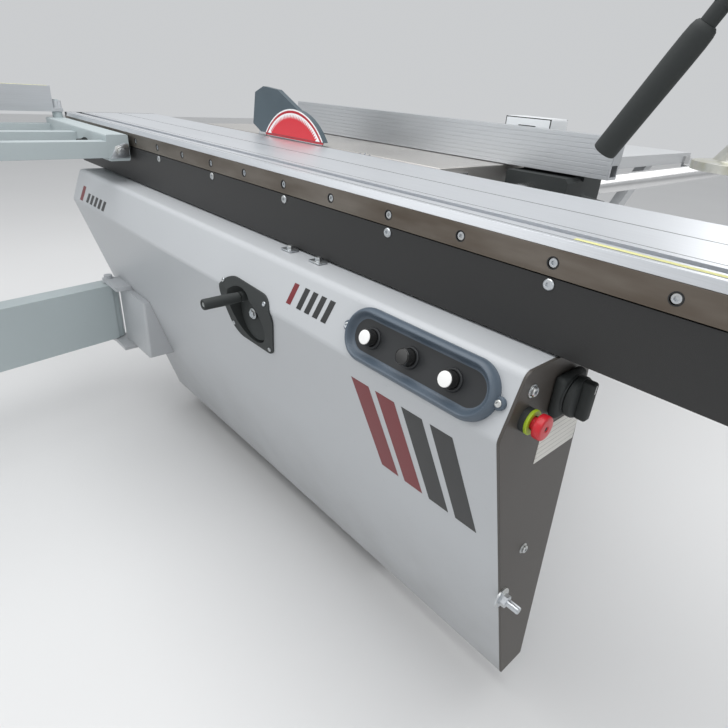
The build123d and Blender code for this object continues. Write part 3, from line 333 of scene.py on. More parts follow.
def bare_steel(name, colour, roughness=0.22):
    """Ground round bars and small turned parts."""
    finish = Finish(name)
    line = finish.noise(900.0, 2.0, (1, 0.05, 1))
    cloud = finish.noise(18.0, 3.0)
    tone = finish.blend(cloud, shade(colour, 0.86), shade(colour, 1.05))
    return finish.surface(tone, line * 0.10 + cloud * 0.12 + (roughness - 0.11), line, 0.00002, metallic=1.0,
                          rounding=0.0005)


def rubber(name, colour, ribs=False):
    """Dull rubber with a dusty bloom, ribbed where it is a belt."""
    finish = Finish(name)
    bloom = finish.noise(40.0, 4.0)
    height = finish.noise(900.0, 1.0)
    if ribs:
        wave = finish.node("ShaderNodeTexWave", {"bands_direction": "Y"},
                           {"Vector": finish.place, "Scale": 90.0})
        height = height * 0.2 + Field(finish, wave.outputs[1])
    tone = finish.blend(bloom * 0.5, colour, shade(colour, 2.6))
    return finish.surface(tone, bloom * 0.15 + 0.62, height, 0.0004)


def printed_film(name, colour, roughness=0.34):
    """Self-adhesive film: smooth, with faint clouds from the paint under it."""
    finish = Finish(name)
    peel = finish.noise(500.0, 1.0)
    cloud = finish.noise(9.0, 3.0)
    tone = finish.blend(cloud, shade(colour, 0.93), shade(colour, 1.07))
    return finish.surface(tone, cloud * 0.10 + (roughness - 0.05), peel, 0.00004, rounding=0.0001)


def ruled_plate(name, low, high):
    """A blank rating plate: pale foil with an empty ruled form."""
    finish = Finish(name)
    foil = finish.noise(700.0, 2.0, (1, 0.02, 1))
    cloud = finish.noise(30.0, 3.0)
    rows = (finish.axis("Z") - low) * (1.0 / (high - low))
    wave = finish.math("PINGPONG", rows * 7.0, 0.5)
    rule = 1.0 - finish.step(wave, 0.03, 0.06)
    tone = finish.blend(cloud, paint(205, 203, 196), paint(226, 224, 218))
    tone = finish.blend(rule * 0.75, tone, paint(120, 118, 114))
    return finish.surface(tone, foil * 0.15 + 0.30, foil, 0.00002, rounding=0.0001)


# ---- mesh building ------------------------------------------------------------------------
def rows_to_faces(rows, count, closed=False):
    """Faces between rows of points that run round a shape. A closed run joins the last row to the first."""
    faces = []
    for row in range(rows if closed else rows - 1):
        below, above = row * count, (row + 1) % rows * count
        for number in range(count):
            beside = (number + 1) % count
            faces.append((below + number, below + beside, above + beside, above + number))
    return faces


def prism_faces(count):
    """Faces of a prism whose lower outline comes first."""
    ends = [tuple(range(count)), tuple(range(2 * count - 1, count - 1, -1))]
    return ends + [(n, (n + 1) % count, (n + 1) % count + count, n + count) for n in range(count)]


class Shape:
    """A mesh under construction, made of closed lumps."""

    def __init__(self):
        self.mesh = bmesh.new()

    def lump(self, points, faces, material=0):
        """Adds points and the faces between them."""
        corners = [self.mesh.verts.new(point) for point in points]
        made = []
        for face in faces:
            made.append(self.mesh.faces.new([corners[number] for number in face]))
            made[-1].material_index = material
        return made

    def prism(self, outline, origin, across, up, depth, rounding=0.0, material=0, segments=2):
        """A flat outline pushed along depth, its edges rounded where asked."""
        across, up, depth = Vector(across), Vector(up), Vector(depth)
        base = [Vector(origin) + across * a + up * b for a, b in outline]
        count = len(base)
        points = base + [point + depth for point in base]
        made = self.lump(points, prism_faces(count), material)
        bmesh.ops.recalc_face_normals(self.mesh, faces=made)
        if rounding:
            edges = {edge for face in made for edge in face.edges}
            bmesh.ops.bevel(self.mesh, geom=list(edges), offset=rounding, segments=segments, profile=0.5,
                            affect="EDGES", clamp_overlap=True, material=-1)
        return self

    def block(self, low, high, rounding=0.0008, material=0, segments=2):
        low, high = Vector(low), Vector(high)
        size = high - low
        outline = [(0, 0), (size.x, 0), (size.x, size.y), (0, size.y)]
        return self.prism(outline, low, (1, 0, 0), (0, 1, 0), (0, 0, size.z), rounding, material, segments)

    def lathe(self, profile, origin, axis, segments=48, material=0, ring=False):
        """Turns (radius, distance) points about an axis. A ring joins its last point to its first."""
        axis = Vector(axis).normalized()
        side = axis.orthogonal().normalized()
        other = axis.cross(side)
        points = []
        for radius, along in profile:
            for number in range(segments):
                angle = 2 * pi * number / segments
                outward = side * cos(angle) + other * sin(angle)
                points.append(Vector(origin) + axis * along + outward * radius)
        rows = len(profile)
        faces = rows_to_faces(rows, segments, ring)
        if not ring:
            faces.append(tuple(range(segments)))
            faces.append(tuple(range(rows * segments - 1, (rows - 1) * segments - 1, -1)))
        self.lump(points, faces, material)
        return self

    def bar(self, start, end, radius, rounding=0.001, segments=32, material=0):
        """A round bar with softened ends."""
        run = Vector(end) - Vector(start)
        length = run.length
        profile = [(radius - rounding, 0), (radius - rounding * 0.3, rounding * 0.3), (radius, rounding),
                   (radius, length - rounding), (radius - rounding * 0.3, length - rounding * 0.3),
                   (radius - rounding, length)]
        return self.lathe(profile, start, run, segments, material)

    def mesh_data(self, name, materials, crease=SMOOTH_BELOW):
        bmesh.ops.remove_doubles(self.mesh, verts=self.mesh.verts, dist=1e-7)
        bmesh.ops.recalc_face_normals(self.mesh, faces=self.mesh.faces)
        data = bpy.data.meshes.new(name)
        self.mesh.to_mesh(data)
        self.mesh.free()
        for material in materials:
            data.materials.append(material)
        for face in data.polygons:
            face.use_smooth = True
        data.set_sharp_from_angle(angle=radians(crease))
        return data

    def piece(self, name, materials, body, slot, *nodes, crease=SMOOTH_BELOW):
        """Ends the mesh, shows it as a piece on a body, in place of the nodes named."""
        return show(self.mesh_data(name, materials, crease), name, body, slot, *nodes)


def show(data, name, body, slot, *nodes):
    """Shows a finished mesh as a piece on a body, in place of the nodes named."""
    piece = bpy.data.objects.new(name, data)
    bpy.context.scene.collection.objects.link(piece)
    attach(piece, body)
    if nodes:
        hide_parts(*nodes)
    return piece


def named(name):
    """A finish made earlier."""
    return bpy.data.materials[name]


def facing(normal):
    """The turn that points a screw head, drawn along +Z, along a direction."""
    return Vector(normal).to_track_quat("Z", "Y").to_euler()


def screw_head(radius, height, socket=0.48, depth=0.6):
    """A cap screw's head standing on its underside, with a hexagon socket."""
    shape = Shape()
    segments = 24
    soft = radius * 0.16
    angles = [2 * pi * number / segments for number in range(segments)]
    rows = [[(ring * cos(angle), ring * sin(angle), rise) for angle in angles]
            for ring, rise in ((radius, 0.0), (radius, height - soft), (radius - soft, height))]
    for rise in (height, height * (1 - depth)):
        row = []
        for angle in angles:
            nearest = (angle + pi / 6) % (pi / 3) - pi / 6
            reach = radius * socket * cos(pi / 6) / cos(nearest)
            row.append((reach * cos(angle), reach * sin(angle), rise))
        rows.append(row)
    points = [point for row in rows for point in row]
    ends = [tuple(range(segments)), tuple(range(4 * segments, 5 * segments))]
    shape.lump(points, ends + rows_to_faces(len(rows), segments))
    return shape


def repeat_tree():
    """Geometry Nodes: a row of one part, set out from a first place at an even pitch."""
    tree = bpy.data.node_groups.new("Row of parts", "GeometryNodeTree")
    for name, kind in (("Part", "Object"), ("Count", "Int"), ("First", "Vector"), ("Pitch", "Vector"),
                       ("Turn", "Rotation"), ("Size", "Float"), ("Finish", "Material")):
        tree.interface.new_socket(name, in_out="INPUT", socket_type="NodeSocket" + kind)
    tree.interface.new_socket("Geometry", in_out="OUTPUT", socket_type="NodeSocketGeometry")
    given = tree.nodes.new("NodeGroupInput")
    row = tree.nodes.new("GeometryNodeMeshLine")
    part = tree.nodes.new("GeometryNodeObjectInfo")
    spread = tree.nodes.new("GeometryNodeInstanceOnPoints")
    real = tree.nodes.new("GeometryNodeRealizeInstances")
    finish = tree.nodes.new("GeometryNodeSetMaterial")
    result = tree.nodes.new("NodeGroupOutput")
    for source, target in (
        (given.outputs["Count"], row.inputs["Count"]), (given.outputs["First"], row.inputs["Start Location"]),
        (given.outputs["Pitch"], row.inputs["Offset"]), (given.outputs["Part"], part.inputs["Object"]),
        (row.outputs["Mesh"], spread.inputs["Points"]), (part.outputs["Geometry"], spread.inputs["Instance"]),
        (given.outputs["Turn"], spread.inputs["Rotation"]), (given.outputs["Size"], spread.inputs["Scale"]),
        (spread.outputs["Instances"], real.inputs["Geometry"]),
        (real.outputs["Geometry"], finish.inputs["Geometry"]),
        (given.outputs["Finish"], finish.inputs["Material"]),
        (finish.outputs["Geometry"], result.inputs["Geometry"]),
    ):
        tree.links.new(source, target)
    return tree


def row_of_parts(part, count, first, pitch, material, turn=(0, 0, 0), size=1.0):
    """The plain mesh that the row tree makes of a part."""
    tree = bpy.data.node_groups.get("Row of parts") or repeat_tree()
    sample = bpy.data.objects.new("sample_part", part)
    carrier = bpy.data.objects.new("row_carrier", bpy.data.meshes.new("row_carrier"))
    for made in (sample, carrier):
        bpy.context.scene.collection.objects.link(made)
    modifier = carrier.modifiers.new("Row", "NODES")
    modifier.node_group = tree
    given = {"Part": sample, "Count": count, "First": Vector(first), "Pitch": Vector(pitch),
             "Turn": Vector(turn), "Size": size, "Finish": material}
    for item in tree.interface.items_tree:
        if item.in_out == "INPUT":
            modifier[item.identifier] = given[item.name]
    graph = bpy.context.evaluated_depsgraph_get()
    data = bpy.data.meshes.new_from_object(carrier.evaluated_get(graph))
    carrier.modifiers.clear()
    for made in (sample, carrier):
        bpy.data.objects.remove(made)
    return data


def merged(name, *meshes):
    """Several meshes as one, with the first one's finishes."""
    whole = bmesh.new()
    for data in meshes:
        whole.from_mesh(data)
    joined = bpy.data.meshes.new(name)
    whole.to_mesh(joined)
    whole.free()
    for material in meshes[0].materials:
        joined.materials.append(material)
    joined.set_sharp_from_angle(angle=radians(SMOOTH_BELOW))
    return joined


def screws(name, places, normal, radius, height, body, slot, *nodes):
    """Like screws at scattered places, all facing one way."""
    head = screw_head(radius, height).mesh_data(name + "_head", [named("zinc_bright")])
    rows = [row_of_parts(head, 1, place, (0, 0, 0), named("zinc_bright"), facing(normal)) for place in places]
    return show(merged(name, *rows), name, body, slot, *nodes)


def facet_axes(top, foot):
    """Directions down and out of a slanting face of the front cover."""
    down = Vector((0, foot[0] - top[0], foot[1] - top[1])).normalized()
    return down, down.cross(ALONG)


def on_facet(top, foot, x, z, lift=0.0):
    """Point on a slanting face of the front cover, lifted off it."""
    share = (top[1] - z) / (top[1] - foot[1])
    return Vector((x, top[0] + share * (foot[0] - top[0]), z)) + facet_axes(top, foot)[1] * lift


def panel_axes():
    """Middle, across, up and outward directions of the push-button panel."""
    down, normal = facet_axes(BAND_TOP, BAND_FOOT)
    middle = on_facet(BAND_TOP, BAND_FOOT, PANEL_CENTRE.x, PANEL_CENTRE.z)
    return middle, ALONG, -down, normal


# ---- operators ----------------------------------------------------------------------------
class PANELSAW_OT_finishes(bpy.types.Operator):
    """Makes every finish and gives each CAD part its own"""
    bl_idname = "panel_saw.finishes"
    bl_label = "Finishes"

    def execute(self, context):
        colours = context.scene.panel_saw_colours
        body, arms = tuple(colours.body), tuple(colours.arms)
        powder_coat("body_coat", body, 0.40, 700.0, 0.5)
        powder_coat("arm_coat", arms, 0.38, 900.0)
        powder_coat("frame_coat", paint(62, 62, 64), 0.55, 600.0, 0.5)
        powder_coat("panel_coat", tuple(colours.end_panel), 0.46, 800.0, 0.3)
        powder_coat("beam_coat", tuple(colours.beam), 0.44, 900.0)
        powder_coat("table_coat", paint(188, 190, 192), 0.40, 800.0)
        powder_coat("motor_coat", paint(110, 118, 124), 0.46, 600.0)
        powder_coat("casing_coat", paint(214, 217, 219), 0.36, 900.0)
        drawn_metal("anodised_table", paint(226, 229, 233), "X", 0.36, 1500.0, polish=0.15)
        drawn_metal("anodised_fence", paint(196, 199, 202), "X", 0.40, 1400.0, polish=0.20)
        drawn_metal("anodised_cross", paint(206, 209, 212), "Y", 0.38, 1400.0, polish=0.15)
        drawn_metal("oiled_strip", paint(138, 131, 123), "X", 0.42, 1300.0, stain=paint(96, 86, 76))
        ground_iron("ground_table", paint(206, 203, 199))
        turned_steel("blade_plate", paint(205, 207, 210))
        bare_steel("bright_bar", paint(214, 214, 214))
        zinc_plate("zinc_bright", paint(206, 210, 214), paint(200, 198, 188))
        zinc_plate("zinc_yellow", paint(214, 214, 206), paint(206, 202, 168))
        moulding("rim_plastic", tuple(colours.rim), 0.40, 1300.0)
        moulding("black_plastic", paint(40, 41, 43), 0.42, 1500.0)
        moulding("floor_plastic", paint(38, 40, 42), 0.50, 1200.0)
        moulding("cap_black", paint(30, 30, 31), 0.30, 2500.0, 0.00003)
        moulding("cap_white", paint(240, 241, 241), 0.28, 2500.0, 0.00002)
        moulding("emergency_red", tuple(colours.emergency), 0.30, 2200.0, 0.00003)
        moulding("collar_lime", paint(164, 190, 40), 0.40, 2000.0, 0.00003)
        moulding("guard_plastic", paint(70, 84, 92), 0.34, 1600.0, 0.00004)
        moulding("end_plastic", paint(58, 60, 62), 0.50, 1300.0)
        moulding("duct_plastic", paint(66, 66, 67), 0.48, 1000.0)
        moulding("inlay_yellow", paint(232, 230, 156), 0.40, 1800.0, 0.00003)
        rubber("belt_rubber", paint(34, 34, 35), True)
        rubber("foot_rubber", paint(36, 36, 37))
        printed_film("film_red", tuple(colours.stripe_warm))
        printed_film("film_dark", tuple(colours.stripe_dark))
        printed_film("print_red", paint(208, 44, 56), 0.30)
        printed_film("print_deep_red", paint(176, 30, 44), 0.30)
        printed_film("print_white", paint(240, 240, 240), 0.30)
        # Dark grey film used as painted shade in the table's seam and along its slot lips.
        printed_film("painted_seam_shade", paint(96, 98, 100))
        ruled_plate("rating_foil", PLATE_LOW, PLATE_HIGH)
        uses = {
            "body_coat": "cabinet_shell front_cover service_door swing_arm_bracket",
            "arm_coat": "swing_arm swing_arm_extension outrigger_bracket outrigger_frame",
            "frame_coat": "base_frame trunnion_brackets saw_cradle rise_block",
            "panel_coat": "operator_end_panel",
            "beam_coat": "fixed_beam",
            "table_coat": "extension_table",
            "motor_coat": "saw_motor scoring_unit",
            "anodised_table": "sliding_table",
            "anodised_fence": "fence_profile carriage_frame clamp_arm support_bars",
            "anodised_cross": "crosscut_fence",
            "oiled_strip": "table_steel_guides",
            "ground_table": "cast_table",
            "blade_plate": "saw_blade scoring_blade",
            "bright_bar": "guide_bar carriage_axle_rear carriage_axle_front saw_arbor riving_knife "
                          "motor_pulley clamp_column",
            "zinc_bright": "base_fasteners strip_screws levelling_feet",
            "zinc_yellow": "clamp_foot",
            "rim_plastic": "control_bezel",
            "black_plastic": "switch_housings main_switch_knob crank_grip crank_plate crank_arm mains_gland "
                             "fence_lever fence_carrier clamp_lever bracket_clamp_lever push_handle "
                             "flip_stop tilt_handwheel",
            "cap_white": "saw_start_button scoring_start_button",
            "cap_black": "stop_button",
            "emergency_red": "estop_head",
            "guard_plastic": "guard_hood",
            "end_plastic": "table_end_caps",
            "duct_plastic": "dust_port",
            "belt_rubber": "drive_belt",
        }
        for finish, nodes in uses.items():
            for node in nodes.split():
                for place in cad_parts[node].material_slots:
                    place.material = named(finish)
        return {"FINISHED"}


class PANELSAW_OT_cover_marks(bpy.types.Operator):
    """Puts plain coloured stripes on the front cover"""
    bl_idname = "panel_saw.cover_marks"
    bl_label = "Cover marks"

    def stripes(self, name, material, top, foot, outlines):
        """Film cut to outlines given by place along the machine and height."""
        shape = Shape()
        for outline in outlines:
            lower = [on_facet(top, foot, x, z, 0.00005) for x, z in outline]
            upper = [on_facet(top, foot, x, z, FILM) for x, z in outline]
            shape.lump(lower + upper, prism_faces(len(outline)))
        shape.piece(name, [named(material)], "base", "body_grey")

    def slanted_bar(self, left, width, low, high, lean):
        """A leaning bar, from its lower left corner round."""
        return [(left + lean, low), (left + lean + width, low), (left + width, high), (left, high)]

    def execute(self, context):
        lower = (BAND_FOOT, COVER_TOE)
        band = (BAND_TOP, BAND_FOOT)
        for name, film, facet, count, left, pitch, width, low, high, lean in (
            ("cover_stripes_red", "film_red", lower, 2, 0.092, 0.052, 0.038, 0.470, 0.640, 0.030),
            ("cover_stripes_dark", "film_dark", lower, 2, 0.196, 0.052, 0.038, 0.470, 0.640, 0.030),
            ("band_bars_dark", "film_dark", band, 4, -0.038, 0.021, 0.012, 0.702, 0.736, -0.008),
            ("band_bar_red", "film_red", band, 1, -0.066, 0.021, 0.012, 0.702, 0.736, -0.008),
            ("far_bars_dark", "film_dark", band, 5, -1.034, 0.030, 0.017, 0.686, 0.710, -0.006),
            ("far_bar_red", "film_red", band, 1, -1.084, 0.030, 0.022, 0.684, 0.722, -0.006),
        ):
            bars = [self.slanted_bar(left + pitch * n, width, low, high, lean) for n in range(count)]
            self.stripes(name, film, *facet, bars)
        return {"FINISHED"}


class PANELSAW_OT_guard_print(bpy.types.Operator):
    """Prints the red disc with its toothed ring on the guard"""
    bl_idname = "panel_saw.guard_print"
    bl_label = "Guard print"

    def execute(self, context):
        centre_x, centre_z = BLADE_CENTRE.x, PRINT_CENTRE_Z
        low = GUARD_NEAR.z + 0.0008
        teeth = 34

        def arc(radius, reach=0.0):
            """Points of an arc that ends on the guard's lower edge, cut into teeth where they reach out."""
            start = asin((low - centre_z) / radius)
            points = []
            for number in range(teeth + 1):
                angle = start + (pi - 2 * start) * number / teeth
                points.append((radius * cos(angle), max(radius * sin(angle), low - centre_z)))
                if reach and number < teeth:
                    tip = angle + 0.15 * (pi - 2 * start) / teeth
                    points.append(((radius + reach) * cos(tip), (radius + reach) * sin(tip)))
            return points

        def film(name, finish, outline, lift):
            shape = Shape()
            near = (centre_x, GUARD_NEAR.y - lift, centre_z)
            shape.prism(outline, near, ALONG, UPWARD, (0, PRINT_THICK, 0))
            shape.piece(name, [named(finish)], "guard", "guard_slate")

        film("guard_print_ring", "print_white", arc(0.1490), 0.00030)
        film("guard_print_band", "print_deep_red", arc(0.1455), 0.00055)
        film("guard_print_teeth", "print_white", arc(0.1400), 0.00080)
        film("guard_print_disc", "print_red", arc(0.1270, 0.0095), 0.00105)
        skirt = Shape()
        skirt.block((centre_x - 0.126, GUARD_NEAR.y + 0.0026, 0.8930),
                    (centre_x + 0.118, GUARD_NEAR.y + 0.0032, 0.905), 0.0001)
        skirt.piece("guard_skirt", [named("print_red")], "guard", "guard_slate")
        return {"FINISHED"}


class PANELSAW_OT_control_panel(bpy.types.Operator):
    """Moulds the push-button panel and its buttons"""
    bl_idname = "panel_saw.control_panel"
    bl_label = "Control panel"

    def execute(self, context):
        sizes = context.scene.panel_saw_sizes
        middle, across, up, out = panel_axes()
        turns = 28

        def ring(inset, height):
            """Points round the slot shape, inset from its edge and raised off the cover."""
            radius = PANEL_HEIGHT / 2 - inset
            half = (PANEL_LENGTH - PANEL_HEIGHT) / 2
            points = []
            for side, start in ((1, -90), (-1, 90)):
                for number in range(turns + 1):
                    angle = radians(start + 180 * number / turns)
                    place = across * (side * half + radius * cos(angle)) + up * radius * sin(angle)
                    points.append(middle + place + out * height)
            return points

        high = sizes.rim_height
        profile = [(0.0, 0.0), (0.0002, high * 0.40), (0.0014, high * 0.66), (0.0034, high * 0.86),
                   (0.0050, high * 0.96), (0.0064, high), (0.0076, high * 0.97), (0.0086, high * 0.88),
                   (0.0112, high * 0.55), (0.0134, high * 0.36), (0.0146, high * 0.31), (0.0160, high * 0.30)]
        rows = [ring(*step) for step in profile]
        count = len(rows[0])
        points = [point for row in rows for point in row]
        shape = Shape()
        shape.lump(points, [tuple(range(count))] + rows_to_faces(len(rows), count))
        shape.lump(rows[-1], [tuple(range(count))], 1)
        for side in (-1, 1):
            ear = middle + across * side * (PANEL_LENGTH / 2 + 0.002)
            shape.lathe([(0.0082, 0.0), (0.0082, 0.0042), (0.0074, 0.0054), (0.0060, 0.0058)], ear, out, 32)
        for place in BUTTON_XS.values():
            foot = middle + across * place + out * 0.0045
            shape.lathe([(0.0118, 0), (0.0150, 0), (0.0150, 0.0026), (0.0142, 0.0036), (0.0132, 0.0038),
                         (0.0122, 0.0037), (0.0118, 0.0032)], foot, out, 48, 1, ring=True)
        shape.piece("push_button_panel", [named("rim_plastic"), named("floor_plastic")], "base",
                    "bezel_plastic", "control_bezel")
        for node, place in BUTTON_XS.items():
            foot = middle + across * place
            white = node != "stop_button"
            cap = Shape()
            cap.lathe([(0.0112, 0.0085), (0.0114, 0.0206), (0.0110, 0.0220), (0.0104, 0.0224),
                       (0.0100, 0.0218)], foot, out, 48, 0)
            cap.lathe([(0.0099, 0.0204), (0.0099, 0.0226), (0.0093, 0.0231), (0.0060, 0.0233)],
                      foot, out, 48, 1)
            cap.piece(node + "_cap", [named("cap_black"), named("cap_white" if white else "cap_black")],
                      node.removesuffix("_button"), "cap_white" if white else "cap_black", node)
        ears = [middle + across * side * (PANEL_LENGTH / 2 + 0.0025) + out * 0.0056 for side in (-1, 1)]
        screws("panel_ear_screws", ears, out, sizes.panel_screw, 0.0026, "base", "zinc")
        return {"FINISHED"}


class PANELSAW_OT_screw_rows(bpy.types.Operator):
    """Sets the rows of socket screws on the strip and the beam, and the loose fixings"""
    bl_idname = "panel_saw.screw_rows"
    bl_label = "Screw rows"

    def execute(self, context):
        sizes = context.scene.panel_saw_sizes
        zinc = named("zinc_bright")
        outward = facing((0, -1, 0))
        strip_head = screw_head(sizes.strip_screw, 0.0040).mesh_data("strip_head", [zinc])
        row = row_of_parts(strip_head, STRIP_SCREWS, (FIRST_SCREW, STRIP_FACE + 0.0048, STRIP_SCREW_Z),
                           ALONG * SCREW_PITCH, zinc, outward)
        show(row, "strip_socket_screws", "table", "zinc", "strip_screws")
        # Thin dark film rings laid round the strip screw heads: painted shadow at the rim of each screw's
        # recess.
        shadow_ring = Shape()
        inner, outer = sizes.strip_screw + 0.0001, sizes.strip_screw + 0.0014
        shadow_ring.lathe([(inner, 0), (outer, 0), (outer, 0.0003), (inner, 0.0003)], (0, 0, 0), UPWARD, 32,
                   ring=True)
        row = row_of_parts(shadow_ring.mesh_data("strip_screw_shadow_ring", [named("film_dark")]), STRIP_SCREWS,
                           (FIRST_SCREW, STRIP_FACE, STRIP_SCREW_Z), ALONG * SCREW_PITCH, named("film_dark"),
                           outward)
        show(row, "strip_screw_wells", "table", "steel_brown")
        beam_head = screw_head(sizes.beam_screw, 0.0034, 0.46).mesh_data("beam_head", [zinc])
        row = row_of_parts(beam_head, BEAM_SCREWS,
                           (FIRST_SCREW + SCREW_PITCH, BEAM_FACE + 0.0012, BEAM_SCREW_Z),
                           ALONG * 2 * SCREW_PITCH, zinc, outward)
        show(row, "beam_socket_screws", "base", "zinc", "base_fasteners")
        fixings = Shape()
        washer = [(0.0085, 0), (0.0085, 0.0010), (0.0076, 0.0014), (0.0068, 0.0014)]
        for y, z in END_SCREWS:
            fixings.lathe(washer, (END_FACE, y, z), ALONG, 32)
        for profile, segments in (
            ([(0.017, 0), (0.017, 0.0022), (0.0164, 0.003), (0.012, 0.003)], 40),
            ([(0.0104, 0.003), (0.0104, 0.0122), (0.0094, 0.0130), (0.006, 0.0130)], 6),
            ([(0.0060, 0.012), (0.0060, 0.0315), (0.0052, 0.0328), (0.0030, 0.0330)], 32),
        ):
            fixings.lathe(profile, END_BOLT, ALONG, segments)
        for x in (-0.158, -0.077):
            fixings.block((x - 0.014, -0.242, 0.7585), (x + 0.014, -0.222, 0.7615), 0.0008)
            fixings.lathe([(0.0055, 0), (0.0055, 0.0052), (0.0048, 0.0062), (0.003, 0.0064)],
                          (x, -0.232, 0.7612), UPWARD, 6)
        fixings.piece("cover_fixings", [zinc], "base", "zinc")
        panel_heads = [Vector((END_FACE + 0.001, y, z)) for y, z in END_SCREWS]
        screws("end_panel_screws", panel_heads, ALONG, 0.0062, 0.0042, "base", "zinc")
        for name, facet, places in (
            ("crank_plate_upper_screws", (BAND_TOP, BAND_FOOT), ((-0.264, 0.686), (-0.124, 0.684))),
            ("crank_plate_lower_screws", (BAND_FOOT, COVER_TOE), ((-0.272, 0.594), (-0.152, 0.582))),
        ):
            heads = [on_facet(*facet, x, z, 0.0030) for x, z in places]
            screws(name, heads, facet_axes(*facet)[1], 0.0042, 0.0022, "base", "zinc")
        return {"FINISHED"}


class PANELSAW_OT_switches(bpy.types.Operator):
    """Moulds the main switch, the emergency stop's collar and the blank rating plate"""
    bl_idname = "panel_saw.switches"
    bl_label = "Switches"

    def execute(self, context):
        black = named("black_plastic")
        out = ALONG
        half = 0.028
        housing = Shape()
        housing.block(SWITCH_AXIS - Vector((0, half, half)), SWITCH_AXIS + Vector((0.0145, half, half)),
                      0.006, 0, 5)
        housing.lathe([(0.0265, 0.0135), (0.0265, 0.0148), (0.0258, 0.0158), (0.0160, 0.0160)],
                      SWITCH_AXIS, out, 64)
        housing.lathe([(0.0082, 0), (0.0155, 0), (0.0155, 0.0064), (0.0146, 0.0078), (0.0100, 0.0082),
                       (0.0082, 0.0082)], ESTOP_AXIS, out, 48, ring=True)
        housing.piece("switch_bodies", [black], "base", "black_plastic", "switch_housings")
        knob = Shape()
        knob.lathe([(0.0145, 0.0162), (0.0255, 0.0166), (0.0270, 0.0180), (0.0270, 0.0236), (0.0262, 0.0252),
                    (0.0244, 0.0259), (0.0090, 0.0260)], SWITCH_AXIS, out, 64)
        knob.block(SWITCH_AXIS + Vector((0.0245, -0.0072, -0.0258)),
                   SWITCH_AXIS + Vector((0.0398, 0.0072, 0.0258)), 0.0035, 0, 4)
        knob.block(SWITCH_AXIS + Vector((0.0396, -0.0006, 0.0120)),
                   SWITCH_AXIS + Vector((0.0400, 0.0006, 0.0235)), 0.0001, 1)
        knob.piece("main_switch_handle", [black, named("cap_white")], "main_switch", "black_plastic",
                   "main_switch_knob")
        collar = Shape()
        collar.lathe([(0.0090, 0.0070), (0.0150, 0.0070), (0.0160, 0.0078), (0.0160, 0.0104),
                      (0.0152, 0.0113), (0.0090, 0.0113)], ESTOP_AXIS, out, 64, ring=True)
        collar.piece("estop_collar", [named("collar_lime")], "base", "black_plastic")
        head = Shape()
        head.lathe([(0.0078, 0.0090), (0.0078, 0.0166), (0.0138, 0.0168), (0.0152, 0.0178), (0.0155, 0.0192),
                    (0.0155, 0.0254), (0.0150, 0.0268), (0.0138, 0.0276), (0.0118, 0.0279), (0.0042, 0.0280),
                    (0.0036, 0.0274), (0.0030, 0.0268)], ESTOP_AXIS, out, 64)
        head.lathe([(0.0029, 0.0260), (0.0029, 0.0270), (0.0026, 0.0272)], ESTOP_AXIS, out, 24, 1)
        head.piece("estop_mushroom", [named("emergency_red"), black], "estop", "estop_red", "estop_head")
        plate = Shape()
        plate.block((END_FACE - 0.0002, -0.211, PLATE_LOW), (END_FACE + 0.0006, -0.112, PLATE_HIGH), 0.0002)
        plate.piece("rating_plate", [named("rating_foil")], "base", "aluminium")
        return {"FINISHED"}


class PANELSAW_OT_crank(bpy.types.Operator):
    """Turns the crank's grip and its end screw"""
    bl_idname = "panel_saw.crank"
    bl_label = "Crank grip"

    def execute(self, context):
        near = (0, -1, 0)
        grip = Shape()
        profile = [(0.0078, 0.0), (0.0090, 0.0008), (0.0095, 0.0022), (0.0093, 0.0050), (0.0097, 0.0160),
                   (0.0100, 0.0350), (0.0098, 0.0560), (0.0099, 0.0662), (0.0094, 0.0690), (0.0086, 0.0699),
                   (0.0060, 0.0700), (0.0056, 0.0668), (0.0052, 0.0662)]
        grip.lathe(profile, GRIP_BASE, near, 48)
        grip.lathe([(0.0048, -0.022), (0.0048, 0.002), (0.0046, 0.003)], GRIP_BASE, near, 32, 1)
        grip.piece("crank_handle_grip", [named("black_plastic"), named("bright_bar")], "crank_handle",
                   "black_plastic", "crank_grip")
        screws("crank_grip_screw", [GRIP_BASE - Vector((0, 0.0661, 0))], near, 0.0046, 0.0030, "crank_handle",
               "zinc")
        nut = Shape()
        hub = CRANK_AXIS - Vector((0, 0.0058, 0))
        nut.lathe([(0.0080, 0), (0.0080, 0.0036), (0.0072, 0.0046), (0.0050, 0.0048)], hub, near, 6)
        nut.lathe([(0.0104, -0.001), (0.0104, 0.0010), (0.0100, 0.0014)], hub, near, 40)
        nut.piece("crank_nut", [named("zinc_bright")], "crank", "zinc")
        return {"FINISHED"}


